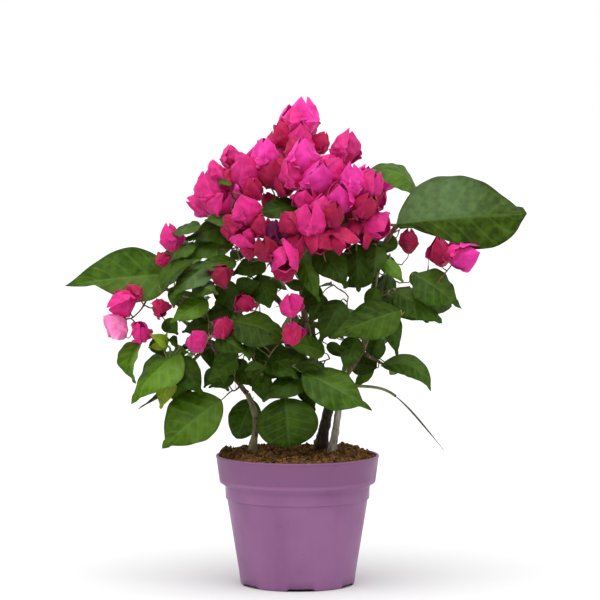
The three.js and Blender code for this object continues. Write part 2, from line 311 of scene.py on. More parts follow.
class Blade(ThinSkin):
    """One leaf or bract on a bent midrib.

    fold lifts its sides, arch and sweep bow the midrib up and sideways, lean moves the bow to the tip,
    twist turns the tip, cup and ruffle bend the edge, crinkle and veins shape the face, rise, fall and
    tail give the outline, and other is the width and outline of its second half.
    """

    def __init__(self, base, tip, width, facing, fold=-8, arch=0.06, sweep=0, ruffle=0.03, waves=2.0, cup=0.0,
                 veins=0.0, rise=0.6, fall=1.1, tail=0.05, rows=18, columns=8, thick=0.35, rib=0.6, twist=0,
                 lean=0, crinkle=0.0, other=None):
        length = np.linalg.norm(tip - base)
        axis = (tip - base) / length
        side = unit(np.cross(axis, facing))
        up = np.cross(side, axis)
        s, t = np.linspace(0, 1, rows + 1), np.linspace(-1, 1, columns + 1)
        down, off, second = s[:, None], np.abs(t), (t >= 0).astype(int)
        bow = 4 * s * (1 - s)
        slack = np.sqrt(bow)[:, None]
        late = bow * (1 + lean * (2 * s - 1))
        middle = base + axis * (s * length)[:, None]
        middle = middle + up * (arch * length * late)[:, None] + side * (sweep * length * bow)[:, None]
        along = headings(middle)
        turn = np.radians(twist) * down
        sides = side * np.cos(turn) + up * np.sin(turn)
        sides = units(sides - along * (sides * along).sum(1)[:, None])
        normals = np.cross(sides, along)
        half = width / 2 * outline(s, rise, fall, tail)
        halves = np.repeat(half[:, None], columns + 1, axis=1)
        if other:
            halves[:, t > 0] = (width / 2 * other[0] * outline(s, *other[1:]))[:, None]
        reach = halves * off
        phases = rng.uniform(0, TURN, 4)
        ripple = np.sin(TURN * waves * down + phases[second])
        ripple += 0.5 * np.sin(TURN * waves * 2.3 * down + phases[2 + second])
        lift = reach * math.sin(math.radians(fold)) + cup * half[:, None] * t**2
        lift = lift + ruffle * width * off**2 * ripple * slack
        midrib = off < 1e-6
        if veins:
            swell = np.abs(np.sin(math.pi * RIB_STEPS * (down - 0.2 * off)))
            lift = lift + veins * (swell - 0.6) * (off * (1 - off**3)) * 2
            lift = lift - veins * midrib
        if crinkle:
            shift = rng.uniform(0, 9)
            folds = [[lumpy(a * 7 + shift, b * 3.2 + shift, shift) for b in t] for a in s]
            lift = lift + crinkle * width * np.array(folds) * 2.4 * slack
        offset = reach * math.cos(math.radians(fold)) * np.sign(t)
        grid = middle[:, None] + sides[:, None] * offset[:, :, None] + normals[:, None] * lift[:, :, None]
        depth = thick * (1 - off**4) * np.minimum(1, half / 1.5)[:, None]
        depth = depth + rib * midrib * (1 - 0.8 * down)
        super().__init__(grid, grid - normals[:, None] * depth[:, :, None])


# ---------------------------------------------------------------- the camera and what it sees


CAMERA_AT = np.array((2.0, -2440.0, 385.0))
CAMERA_LOOK = np.array((2.0, 0.0, 226.0))
CAMERA_ANGLE = 11.1


def make_camera():
    data = bpy.data.cameras.new("camera")
    data.sensor_width = 36
    data.lens = data.sensor_width / 2 / math.tan(math.radians(CAMERA_ANGLE / 2))
    data.dof.use_dof = False
    bpy.context.scene.camera = add_object("camera", data, CAMERA_AT * MM, CAMERA_LOOK - CAMERA_AT)


# Openings through the crown, by node: where the middle is across and up its box, and the radius.
OPENINGS = {
    "upper_left_bracts": [(0.39, -0.5, 3.4)],
    "centre_left_bracts": [(1.27, 0.16, 3), (0.54, -0.54, 3.2)],
    "low_centre_bracts": [(-0.24, -0.92, 3.5)],
    "centre_left_leaves": [(0.49, -0.4, 3), (0.34, -0.9, 4)],
    "centre_leaves": [(0.12, -1.1, 5), (0.45, -1.08, 5)],
    "broad_right_leaves": [(-0.25, 0.75, 4.5), (0.02, 0.62, 4)],
    "centre_right_leaves": [(-0.2, -0.9, 4)],
    "left_lower_leaves": [(-0.18, 0.38, 6), (0.72, 0.04, 5), (0.77, -0.38, 5), (0.97, -0.6, 4)],
    "left_crescent_leaf": [(0.86, -0.1, 5)],
    "small_front_leaf": [(-0.45, 1.05, 7), (-0.8, 0.6, 4)],
    "trunk": [(0.1, 0.21, 6)],
    "grey_stem": [(0.25, -0.55, 7), (0.25, -0.8, 6)],
    "lower_centre_leaves": [(1.07, 0.3, 5), (-0.95, 0.35, 3.5)],
    "lower_centre_leaf": [(0.22, 0.27, 4)],
    "ring_bract": [(-0.77, -0.6, 5), (1.15, 0.3, 6), (-0.55, 0.95, 4.5), (0.6, -1.2, 5), (0.4, 1.1, 4.5)],
    "right_side_leaves": [(-0.6, 0.74, 5), (-0.15, 0.92, 5), (-0.55, 0.12, 5), (0.31, 0.62, 4),
                          (0.95, 0.5, 4), (0.85, -0.75, 4)],
    "right_hanging_leaf": [(0.35, -0.85, 5), (1.1, -0.6, 8)],
    "left_tip_bracts": [(1.05, -0.25, 4.5), (0.43, 0.3, 4.5)],
    "great_right_leaf": [(-0.87, 0.28, 5)],
    "right_lower_leaf": [(-0.9, 0, 5), (-0.5, -0.6, 4)],
}


def opening_rays():
    """The way from the camera to the middle of each opening, and the openings' radii."""
    places = [(at(name, u, 0, w), radius) for name, rows in OPENINGS.items() for u, w, radius in rows]
    return units(np.array([p for p, _ in places]) - CAMERA_AT), np.array([r for _, r in places])


# The cells of a view: where they start across and up, how large they are and how many there are.
GRID_LOW, GRID_STEP, GRID_SIZE = np.array((-190.0, 96.0)), 2.0, (190, 152)


def crown_tree(names):
    """The solids of the crown as one ray-casting tree, and which solid each face belongs to."""
    verts, faces, owners = [], [], []
    for name in names:
        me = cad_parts[name].data
        faces += [[len(verts) + i for i in q.vertices] for q in me.polygons]
        owners += [name] * len(me.polygons)
        verts += [v.co / MM for v in me.vertices]
    return BVHTree.FromPolygons(verts, faces), owners


HIDE_GAP = 1  # how far before a listed blade a point must lie to hide it


class View:
    """Which solid of the crown each cell of one view shows, and what has grown over it so far.

    rays and radii are the openings, which count as bare air, and bridge is the widest gap that is closed.
    """

    def __init__(self, eye, crown, rays=np.zeros((1, 3)), radii=-1.0, bridge=0):
        self.eye = np.array(eye, float)
        self.ahead = unit(-self.eye * (1, 1, 0))
        self.right = np.cross(self.ahead, UP)
        self.names = np.full(GRID_SIZE, "", dtype=object)
        self.hits = np.zeros(GRID_SIZE + (3,))
        tree, owners = crown
        for i, j in np.ndindex(GRID_SIZE):
            across, height = GRID_LOW + GRID_STEP * (np.array((i, j)) + 0.5)
            way = self.right * across + UP * height - self.eye
            if (np.linalg.norm(np.cross(way, rays), axis=1) < radii).any():
                continue
            hit = tree.ray_cast(Vector(self.eye), Vector(way))
            if hit[0] is not None:
                self.names[i, j], self.hits[i, j] = owners[hit[2]], hit[0]
        self.close_gaps(bridge)
        self.wanted = self.names != ""
        self.grown = np.zeros(GRID_SIZE, bool)
        self.given_up = np.zeros(GRID_SIZE, bool)

    def close_gaps(self, bridge):
        """Counts a gap of up to this many cells between two masses as the leaf mass nearest to it."""
        for j in range(GRID_SIZE[1]):
            filled = np.flatnonzero(self.names[:, j] != "")
            for a, b in zip(filled[:-1], filled[1:]):
                for i in range(a + 1, b) if b - a <= bridge else ():
                    share = (i - a) / (b - a)
                    spot = self.hits[a, j] * (1 - share) + self.hits[b, j] * share
                    self.hits[i, j] = spot
                    self.names[i, j] = min(LEAF_MASSES, key=lambda n: np.linalg.norm(at(n, 0, 0, 0) - spot))

    def cells(self, points):
        """The cells that these points fall in."""
        away = points.reshape(-1, 3) - self.eye
        flat = self.eye + away * (-(self.eye @ self.ahead) / (away @ self.ahead))[:, None]
        cells = ((np.stack((flat @ self.right, flat[:, 2]), 1) - GRID_LOW) / GRID_STEP).astype(int)
        return tuple(np.clip(cells, 0, np.array(GRID_SIZE) - 1).T)

    def outside(self, points):
        """The share of these points that show past the crown's outline or in one of its openings."""
        return 1 - self.wanted[self.cells(points)].mean()

    def gain(self, points):
        """How many bare cells these points would cover, and how many cells in all."""
        seen = np.zeros(GRID_SIZE, bool)
        seen[self.cells(points)] = True
        return (seen & self.wanted & ~self.grown).sum(), seen.sum()

    def pick(self, kinds):
        """A bare cell of these kinds of mass, with the mass, the point it shows and the way there."""
        wanted = np.array([[n.endswith(kinds) and n not in BY_HAND for n in row] for row in self.names])
        while True:
            bare = np.argwhere(wanted & ~self.grown & ~self.given_up)
            if not len(bare):
                return
            i, j = bare[rng.integers(len(bare))]
            yield (i, j), self.names[i, j], self.hits[i, j], unit(self.hits[i, j] - self.eye)

    def give_up(self, cell):
        i, j = cell
        self.given_up[max(i - 1, 0): i + 2, max(j - 1, 0): j + 2] = True


hand_set = np.full(GRID_SIZE, np.inf)  # how near the camera the listed blades are


def mark_all(points):
    """Notes in every view that something has grown here."""
    for v in views:
        v.grown[v.cells(points)] = True


def keep_in_front(points):
    """Notes how near the camera a listed blade is, so that nothing grows before it."""
    points = points.reshape(-1, 3)
    np.minimum.at(hand_set, front.cells(points), points[:, 1])


def hides(points):
    """The share of these points that lie before a listed blade."""
    points = points.reshape(-1, 3)
    return (points[:, 1] < hand_set[front.cells(points)] - HIDE_GAP).mean()


# ---------------------------------------------------------------- stems and boughs


LIMBS = {  # each limb and the one it grows from
    "trunk": None, "grey_stem": None, "left_stem": None, "right_bough": "trunk", "centre_bough": "trunk",
    "left_bough": "left_stem", "upper_left_bough": "centre_bough", "upper_right_bough": "right_bough",
    "low_right_bough": "right_bough", "right_side_bough": "right_bough", "drooping_leaf": "grey_stem",
}
SAMPLES = 6000  # points on a limb's surface that its line is drawn from
BIN = 7.0  # length of limb that gives one point of its line
LINE_STEP = 1.6  # between two points of the finished line
ROOT_DEPTH = 6  # how far a stem goes on below its solid's foot
SCAR_GAP = 17  # between two leaf scars along a limb


def surface_samples(name):
    """Points spread evenly over a node's surface."""
    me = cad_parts[name].data
    me.calc_loop_triangles()
    co = np.array([v.co for v in me.vertices]) / MM
    tri = np.array([t.vertices[:] for t in me.loop_triangles])
    a, b, c = co[tri[:, 0]], co[tri[:, 1]], co[tri[:, 2]]
    area = np.linalg.norm(np.cross(b - a, c - a), axis=1)
    own = np.random.default_rng(5)
    pick = own.choice(len(tri), SAMPLES, p=area / area.sum())
    r, q = np.sqrt(own.random(SAMPLES))[:, None], own.random(SAMPLES)[:, None]
    return a[pick] * (1 - r) + b[pick] * r * (1 - q) + c[pick] * r * q


def centre_line(name):
    """The line through the middle of a limb's solid, and its radii."""
    points = surface_samples(name)
    mean = points.mean(0)
    along = (points - mean) @ np.linalg.svd(points - mean, full_matrices=False)[2][0]
    low, long = along.min(), along.max() - along.min()
    count = max(4, int(long / BIN))
    which = np.clip(((along - low) / long * count).astype(int), 0, count - 1)
    line = np.array([points[which == i].mean(0) for i in range(count)])
    for _ in range(2):
        line[1:-1] = (line[:-2] + 2 * line[1:-1] + line[2:]) / 4
    heads = headings(line)
    radii = []
    for i in range(count):
        off = points[which == i] - line[i]
        radii.append(np.linalg.norm(off - heads[i] * (off @ heads[i])[:, None], axis=1).mean())
    line = np.vstack((line[0] - heads[0] * BIN / 2, line, line[-1] + heads[-1] * BIN / 2))
    radii = np.array([radii[0], *radii, radii[-1]])
    radii[1:-1] = (radii[:-2] + radii[1:-1] + radii[2:]) / 3
    return line, radii


class Skeleton:
    """Every point of wood that something can grow from."""

    def __init__(self):
        self.points, self.heads, self.radii = np.zeros((0, 3)), np.zeros((0, 3)), np.zeros(0)

    def add(self, line, radii):
        self.points = np.vstack((self.points, line))
        self.heads = np.vstack((self.heads, headings(line)))
        self.radii = np.concatenate((self.radii, radii))

    def nearest(self, point):
        return int(np.argmin(gaps(self.points, point)))


skeleton = Skeleton()


def limb_lines():
    """Each limb's line from its foot to its tip, joined to the limb it grows from."""
    lines = {}
    for name, parent in LIMBS.items():
        line, radii = centre_line(name)
        if parent is None:
            turned = line[0][2] > line[-1][2]
        else:
            older = lines[parent][0]
            turned = gaps(older, line[0]).min() > gaps(older, line[-1]).min()
        if turned:
            line, radii = line[::-1], radii[::-1]
        foot = older[np.argmin(gaps(older, line[0]))] if parent else line[0] - UP * ROOT_DEPTH
        line = smooth_line(np.vstack((foot, line[1:])), LINE_STEP)
        radii = np.interp(np.linspace(0, 1, len(line)), np.linspace(0, 1, len(radii)), radii)
        lines[name] = (line, radii)
        if name != "drooping_leaf":
            skeleton.add(line[4::3], radii[4::3])
    return lines


def bark_relief(seed, rough):
    """Long ridges, fine cracks and a swelling where each leaf once grew."""

    def relief(angle, along):
        x, y = math.cos(angle) * 1.3, math.sin(angle) * 1.3
        ridges = lumpy(x * 1.4 + seed, y * 1.4, along * 0.06)
        cracks = lumpy(x * 3 + seed, y * 3, along * 0.32)
        step = along / SCAR_GAP + 0.35 * math.sin(along * 0.07 + seed)
        node = math.exp(-(((step - round(step)) * SCAR_GAP / 2.0) ** 2))
        scar = node * max(0, math.cos(angle - round(step) * 2.4 - seed))
        return rough * (0.22 * ridges + 0.16 * cracks) + 0.1 * node + 0.14 * scar

    return relief


# ---------------------------------------------------------------- twigs and stalks


twigs, shoots, petioles, peduncles, thorns = (Heap() for _ in range(5))
TWIG_END = 0.55  # radius of a twig at its end
TWIG_STEP = 3.2  # between two points of a twig
TWIG_SIDES = 7
REACH = 17.0  # the longest stalk
STALK_POINTS = 7
LEAF_STALK, BLOOM_STALK = 11, 10  # how long the stalks are
THORN_GAP = 7  # points of a twig between two thorns
THORN_POINTS = 5


def add_thorn(point, out):
    """A thorn that curves up a little."""
    size = rng.uniform(3.0, 5.5)
    bend = unit(out + UP * 0.4)
    line = curve_points(point, point + out * size * 0.4, point + out * size * 0.7, point + bend * size,
                        THORN_POINTS)
    tube(thorns, line, np.linspace(0.5, 0.05, THORN_POINTS), 5)


def grow_twig(start, goal, woody=True):
    """A twig from a point of the skeleton to a goal, which becomes part of the skeleton."""
    foot, head, wood = skeleton.points[start], skeleton.heads[start], skeleton.radii[start]
    if head @ (goal - foot) < 0:
        head = -head
    reach = np.linalg.norm(goal - foot)
    course = (goal - foot) / reach
    first = foot + unit(0.5 * head + course + jitter(0.12)) * reach * 0.33
    last = goal - unit(course + UP * rng.uniform(0.05, 0.45) + jitter(0.15)) * reach * 0.3
    count = max(5, int(reach / TWIG_STEP))
    line = curve_points(foot, first, last, goal, count)
    bends = np.sin(np.arange(count) * 1.1 + rng.uniform(0, 6)) * 0.35
    across = unit(np.cross(course, jitter(1)))
    line[1:-1] += across * bends[1:-1, None]
    thick = min(0.8 * wood, 0.62 + reach * 0.008)
    radii = np.linspace(max(thick, TWIG_END), TWIG_END, count)
    knots = 1 + 0.22 * (np.arange(count) % 4 == 2)
    tube(twigs if woody else shoots, line, radii * knots, TWIG_SIDES)
    for i in range(4, count - 2, THORN_GAP) if woody else ():
        add_thorn(line[i], unit(np.cross(line[i + 1] - line[i], jitter(1))))
    skeleton.add(line[1:], radii[1:])


def connect(base, heading, stalk, heap, thick, woody=True):
    """Grows what a leaf or a bloom needs to hang on: a twig where the wood is far, then a stalk."""
    i = skeleton.nearest(base)
    if np.linalg.norm(base - skeleton.points[i]) > REACH:
        inward = unit(skeleton.points[i] - base)
        grow_twig(i, base - unit(heading) * stalk * 0.75 + inward * stalk * 0.5, woody)
        i = skeleton.nearest(base)
    foot = skeleton.points[i]
    reach = np.linalg.norm(base - foot)
    first = foot + unit(base - foot + UP * reach * 0.2 + skeleton.heads[i] * 0.3) * reach * 0.4
    line = curve_points(foot, first, base - unit(heading) * reach * 0.4, base, STALK_POINTS)
    tube(heap, line, np.linspace(thick * 1.15, thick * 0.85, STALK_POINTS))


# ---------------------------------------------------------------- leaves


# Upper side deep and light, a painted highlight over one half of it, the underside, and how much the upper
# side shines. The blue tint differs mainly by the bluish grey of its painted highlight.
LEAF_TINTS = {
    "dark": ((34, 52, 4), (50, 72, 12), (60, 84, 24), (56, 70, 22), 0.06),
    "mid": ((42, 66, 6), (60, 90, 16), (72, 100, 30), (66, 86, 30), 0.09),
    "bright": ((56, 86, 6), (76, 110, 18), (88, 122, 34), (80, 104, 34), 0.09),
    "young": ((92, 118, 20), (122, 142, 34), (128, 148, 46), (108, 126, 46), 0.12),
    "blue": ((36, 52, 6), (56, 78, 18), (74, 98, 56), (62, 80, 34), 0.08),
}
leaf_heaps = {tint: [] for tint in LEAF_TINTS}
leaf_centres = []

# Leaves that show by themselves, by mass: base and tip in its box, width, way it faces, tint, own bends.
LEAVES = [
    ("far_left_leaf", [
        ((0.95, 0.3, 0.06), (-0.93, -0.3, -0.37), 44, (0, -0.94, 0.34), "mid",
         dict(fold=2, arch=0.03, tail=0.2, rise=0.8, fall=1.3, ruffle=0.02, sweep=0.01,
              other=(1.08, 0.9, 1.4, 0))),
    ]),
    ("great_right_leaf", [
        ((-0.93, 0.2, -0.4), (1, -0.1, -0.1), 76, (0, -0.95, 0.28), "blue",
         dict(fold=-12, arch=0.03, tail=0.03, rise=0.66, fall=0.9, ruffle=0.035, waves=2.3,
              sweep=-0.005, other=(0.68, 1.4, 0.64, 0.03))),
    ]),
    ("upper_right_leaf", [
        ((0.85, 0, -0.55), (-0.97, -0.5, 0.42), 30, (0.25, -0.62, 0.75), "mid",
         dict(fold=-15, arch=0.28, tail=0, rise=0.6, fall=0.8)),
    ]),
    ("left_crescent_leaf", [
        ((0.7, 0.2, 1), (0.3, -0.2, -1), 27, (-0.75, -0.65, 0.1), "bright",
         dict(fold=22, arch=0.24, tail=0.05)),
    ]),
    ("left_lower_leaves", [
        ((0.2, 0.1, 0.5), (-1.05, -0.3, -0.85), 42, (-0.35, -0.7, 0.65), "bright",
         dict(fold=-12, arch=0.1, tail=0.08, other=(0.86, 0.6, 1.1, 0.08))),
        ((-0.05, 0.3, 0.35), (0.8, -0.5, -0.6), 30, (0.1, -0.8, 0.55), "mid", dict(fold=-14, arch=0.1)),
        ((-0.1, 0.2, -0.1), (-0.3, 0, -1), 18, (0.2, -0.85, 0.4), "young",
         dict(fold=-10, arch=0.1, rise=0.5)),
        ((0.05, 0.5, -0.2), (0.1, 0.2, -0.85), 22, (0.1, -0.9, 0.3), "mid"),
        ((0, 0.5, 0.45), (0.42, 0.1, 0.5), 13, (0.1, -0.9, 0.3), "mid"),
        ((-0.1, -0.2, 0.7), (-0.55, -0.5, 1), 11, (-0.2, -0.8, 0.5), "young", dict(fold=15)),
        ((-0.2, 0, 0.6), (-0.1, -0.4, 1.05), 10, (-0.4, -0.8, 0.3), "young", dict(fold=18)),
        ((-0.15, 0.2, 0.65), (-0.62, 0, 0.62), 9, (0.1, -0.8, 0.5), "young", dict(fold=15)),
        ((0.15, 0, 0.7), (-0.1, -0.4, 0.85), 13, (0.2, -0.8, 0.6), "dark", dict(fold=8)),
        ((0, 0.75, -0.55), (-0.9, 0.6, -1.03), 9, (0.15, -0.25, 0.95), "dark",
         dict(fold=20, arch=0.03, tail=0.2)),
    ]),
    ("lower_left_leaf", [
        ((0.92, 0.3, 0.92), (-0.9, -0.5, -0.98), 38, (-0.1, -0.86, 0.5), "bright",
         dict(fold=-9, arch=0.07, tail=0.08, rise=0.72, fall=0.85, other=(1.42, 0.66, 0.75, 0.08))),
    ]),
    ("left_upper_leaves", [
        ((0.85, 0.1, 0.6), (-0.65, -0.6, 0), 32, (0, -0.6, 0.8), "dark", dict(fold=-14)),
        ((0.75, -0.1, 0.1), (-0.9, -0.4, -0.9), 26, (-0.1, -0.75, 0.65), "mid", dict(fold=-12)),
        ((0.7, -0.5, 0.9), (-0.1, -0.8, 0.85), 14, (0, -0.8, 0.6), "mid"),
    ]),
    ("left_blue_leaves", [
        ((0.5, -0.1, 0.8), (-0.85, -0.8, -0.05), 27, (-0.25, -0.68, 0.7), "blue", dict(fold=-10, arch=0.1)),
        ((0.3, -0.2, -0.1), (-0.85, -0.6, -0.65), 21, (-0.2, -0.85, 0.5), "bright", dict(fold=-6)),
        ((1.2, -0.3, 0.85), (-0.1, -0.8, 0.7), 18, (0, -0.7, 0.7), "mid"),
    ]),
    ("left_inner_leaves", [
        ((-0.4, -0.5, -0.1), (-1.2, -0.8, -0.35), 17, (0, -0.8, 0.6), "dark"),
        ((0.2, -0.4, 0.4), (-0.6, -0.7, 0), 18, (0, -0.8, 0.6), "dark"),
        ((0.3, 0, -0.9), (-0.45, -0.4, -1.75), 18, (0, -0.9, 0.4), "mid"),
    ]),
    ("centre_left_leaves", [
        ((0, -0.2, 0.1), (0.35, -0.7, -0.88), 24, (0, -0.9, 0.4), "mid", dict(fold=-10, arch=0.1, fall=0.8)),
        ((0.2, -0.3, 0.5), (-0.75, -0.8, 0.1), 22, (-0.1, -0.7, 0.7), "dark", dict(fold=-10)),
    ]),
    ("long_centre_leaf", [
        ((-0.85, 0.1, 0.85), (0.92, -0.4, -0.15), 38, (0, -0.66, 0.75), "dark", dict(fold=-12, arch=0.1)),
        ((-0.2, 0.5, -0.2), (0.95, 0, -0.75), 22, (0, -0.8, 0.6), "dark"),
    ]),
    ("centre_leaves", [
        ((-0.7, 0, 0.35), (-0.1, -0.6, -1.4), 18, (-0.35, -0.9, 0.3), "mid", dict(fold=-10)),
        ((-0.1, -0.2, 0.6), (0.8, -0.7, -0.85), 28, (0.1, -0.85, 0.5), "dark", dict(fold=-10)),
    ]),
    ("centre_right_leaves", [
        ((-0.6, -0.2, 0.7), (-0.5, -0.7, -0.8), 24, (0, -0.9, 0.4), "dark", dict(fold=-10)),
        ((0.45, -0.2, 0.2), (1.25, -0.6, -0.5), 15, (0.3, -0.85, 0.4), "bright"),
    ]),
    ("broad_right_leaves", [
        ((1.05, 0.2, 0.42), (-0.68, -0.7, -0.42), 34, (0.05, -0.88, 0.45), "dark", dict(fold=-12, arch=0.08)),
    ]),
    ("centre_right_leaves", [
        ((0.1, 0.3, -0.2), (-1.1, 0.1, -0.72), 17, (0, -0.9, 0.4), "dark"),
        ((0.19, 0.2, -0.7), (-0.14, 0, -1.6), 14, (0.1, -0.9, 0.4), "mid"),
    ]),
    ("broad_right_leaves", [
        ((-0.4, 0, 0.78), (-0.95, -0.4, -0.62), 24, (-0.1, -0.95, 0.3), "dark"),
        ((-0.05, 0.2, -0.45), (-0.35, -0.3, -1.6), 19, (0.1, -0.95, 0.3), "mid", dict(fold=-10)),
    ]),
    ("lower_centre_leaves", [
        ((-0.55, -0.1, 0.7), (0.3, -0.7, -0.2), 28, (0, -0.7, 0.7), "mid", dict(fold=-12)),
        ((0.4, 0, 0.7), (-0.5, -0.6, -0.35), 26, (0, -0.75, 0.65), "dark", dict(fold=-12)),
        ((0.5, -0.2, -0.1), (-0.45, -0.7, -0.95), 24, (0, -0.8, 0.6), "dark"),
        ((-1, 0.2, 0.4), (-1.6, -0.2, -0.3), 18, (0, -0.85, 0.5), "mid"),
    ]),
    ("lower_centre_leaf", [
        ((-1.15, 0.2, 0.36), (0.95, -0.5, -0.92), 38, (0.2, -0.8, 0.55), "mid",
         dict(fold=-12, arch=0.06, tail=0.14, rise=0.7, fall=0.8)),
    ]),
    ("round_front_leaf", [
        ((-0.05, 0.4, 0.98), (0.1, 0.1, -0.74), 49, (0, -1, 0), "dark",
         dict(arch=0.14, tail=0, rise=0.46, fall=0.42, ruffle=0.02)),
    ]),
    ("small_front_leaf", [
        ((0.55, 0.1, 0.85), (-0.35, -0.3, -0.95), 27, (-0.15, -0.96, 0.25), "mid",
         dict(fold=-10, arch=0.1, tail=0, rise=0.55, fall=0.6)),
    ]),
    ("right_side_leaves", [
        ((-0.3, 0, 0.55), (0.98, -0.5, -0.5), 36, (0.1, -0.8, 0.6), "mid",
         dict(fold=-10, arch=0.06, tail=0.12, ruffle=0.05, rise=0.8)),
        ((-0.8, 0.2, 0), (0.45, -0.4, -0.95), 30, (0, -0.8, 0.6), "mid",
         dict(fold=-12, arch=0.08, ruffle=0.06)),
        ((-0.95, 0.3, -0.1), (0.1, 0, -0.95), 24, (0, -0.8, 0.6), "mid", dict(fold=-12)),
    ]),
    ("right_hanging_leaf", [
        ((0.2, 0.2, 0.7), (0.7, -0.4, -0.9), 19, (0.3, -0.9, 0.25), "mid", dict(fold=-10)),
        ((0.5, 0, 0.9), (-0.8, -0.5, 0.3), 22, (0.1, -0.85, 0.5), "dark", dict(fold=-10)),
    ]),
    ("right_lower_leaf", [
        ((-0.9, 0.2, 0.42), (0.78, -0.3, -0.92), 23, (0.3, -0.72, 0.6), "mid",
         dict(fold=-6, arch=0.14, tail=0.06, sweep=-0.22, ruffle=0.02, rise=0.6, fall=0.75)),
    ]),
    ("left_inner_leaves", [
        ((0.5, 0.2, -1.2), (0.3, -0.2, -1.75), 12, (0, -0.9, 0.4), "dark"),
        ((0.2, 0.2, -1.35), (-0.3, 0, -1.95), 13, (0, -0.9, 0.4), "dark"),
        ((0.35, 0.3, -1.6), (0.75, 0, -2.05), 12, (0, -0.9, 0.4), "mid"),
        ((-0.25, 0.3, -1.5), (-0.6, 0, -2.1), 12, (0, -0.9, 0.4), "mid"),
    ]),
    ("lower_centre_leaves", [
        ((-0.48, 0.3, -0.2), (-0.42, 0.1, -1.1), 17, (0, -0.95, 0.3), "mid"),
        ((0.38, 0.3, -0.4), (0.66, 0.1, -1.4), 15, (0, -0.95, 0.3), "dark"),
    ]),
    ("centre_leaves", [((-0.3, 0.5, -0.75), (-0.4, 0.4, -2.15), 17, (0, -0.95, 0.2), "dark")]),
    ("broad_right_leaves", [((-0.2, 0.4, -0.6), (-0.25, 0.3, -1.45), 15, (0, -0.95, 0.2), "dark")]),
    ("centre_leaves", [((0, 0.2, -1.15), (-0.42, 0.1, -2.3), 16, (0, -0.95, 0.2), "dark")]),
    ("lower_centre_leaves", [
        ((-1.47, 0.3, 0), (-1.16, 0.1, -0.72), 15, (0, -0.9, 0.4), "mid"),
        ((-1.06, 0.3, -0.2), (-1.6, 0.1, -0.6), 13, (0, -0.85, 0.5), "dark"),
    ]),
    ("left_tip_bracts", [
        ((0.55, 0.5, -0.9), (0.95, 0.2, -1.55), 14, (0, -0.9, 0.4), "dark"),
        ((0.9, 0.5, -0.2), (1.3, 0.2, -0.75), 14, (0, -0.9, 0.4), "mid"),
    ]),
    ("crown_bracts", [((-0.2, -0.3, -0.72), (-1.62, -0.6, -0.98), 20, (0, -0.85, 0.5), "dark")]),
    ("upper_left_bracts", [
        ((-0.5, -0.2, -0.85), (-1.05, -0.6, -1), 9, (0, -0.6, 0.8), "blue", dict(fold=-6)),
    ]),
    ("left_bracts", [
        ((0.75, -0.3, 0.3), (0.2, -0.9, 0.22), 9, (0, -0.8, 0.6), "mid", dict(fold=-6)),
        ((0.95, 0, -0.8), (0.1, -0.6, -1.05), 15, (0, -0.6, 0.8), "dark"),
    ]),
    ("right_bracts", [((-0.4, -0.2, -0.35), (-0.75, -0.5, -0.55), 13, (0, -0.9, 0.4), "dark")]),
]

# Small cubes of space: where they start, how large they are and how many there are.
SPACE_LOW, SPACE_STEP, SPACE_SIZE = np.array((-200.0, -150.0, 80.0)), 3.0, (140, 110, 110)
taken = np.zeros(SPACE_SIZE, bool)  # the cubes that listed blades run through
MOST_CUT = 0.03  # the share of a leaf that may lie in these cubes
MOST_PAST = 0.03  # the share of a leaf or a bloom that may show past the crown's outline
FILL_PAST = 0.02  # the same for a leaf that fills a mass
WAY_POINTS, MOST_BARE = 10, 0.15  # points that the way to a leaf is tested at, and the share that may show
BIG_LEAF = 30  # listed leaves that are longer than this have raised veins and a finer mesh
LEAF_GAP = 5  # the least that lies between the middles of two leaves that cover a patch
FILL_GAP = 0.3  # the same for a leaf that fills a mass, as a share of its length
TWIG_SPACE = 22000  # the volume of a mass that gets one more twig, in cubic millimetres
MASS_TWIGS = 4  # the most twigs in one mass
NO_TWIG = 6  # a goal no farther than this from the wood needs no twig
NEAR_MASS = 8  # wood no farther than this from a mass bears its leaves
LEAF_TRIES, FILL_TRIES = 26, 30  # trials for each bare cell, and for each leaf that fills a mass
SPILL = 0.12  # what a trial leaf loses for each cell it covers, against what it gains for a bare one


def space_cells(points):
    """The small cubes of space that these points lie in."""
    cells = ((points.reshape(-1, 3) - SPACE_LOW) / SPACE_STEP).astype(int)
    return tuple(np.clip(cells, 0, np.array(SPACE_SIZE) - 1).T)


def clashes(blade, most_hidden=0.12):
    """Whether a blade cuts or hides a listed one."""
    return taken[space_cells(blade.grid)].mean() > MOST_CUT or hides(blade.grid) > most_hidden


def bare_way(base, most_hidden=0.15):
    """Whether the way from the wood to a leaf's foot shows from the front, past the crown or before it."""
    way = np.linspace(skeleton.points[skeleton.nearest(base)], base, WAY_POINTS)
    return front.outside(way) > MOST_BARE or hides(way) > most_hidden


def crowded(blade, least):
    """Whether a leaf's middle is less than this far from another's."""
    return gaps(leaf_centres, blade.centre).min() < least


def add_leaf(mass, blade, tint, heading):
    """Puts a leaf in the heap of its tint and hangs it on the wood."""
    mark_all(blade.grid)
    connect(blade.grid[0, 0], heading, LEAF_STALK, petioles, 0.55)
    heap = heap_with_room(leaf_heaps[tint])
    blade.into(heap)
    heap.masses.add(mass)
    leaf_centres.append(blade.centre)


def hand_leaves():
    for mass, rows in LEAVES:
        for base, tip, width, facing, tint, *bends in rows:
            foot, end = at(mass, *base), at(mass, *tip)
            big = np.linalg.norm(end - foot) > BIG_LEAF
            settings = dict(veins=0.35, rows=40, columns=14) if big else dict(rows=20)
            settings.update(*bends)
            blade = Blade(foot, end, width, facing, **settings)
            taken[space_cells(blade.grid)] = True
            keep_in_front(blade.grid)
            add_leaf(mass, blade, tint, end - foot)


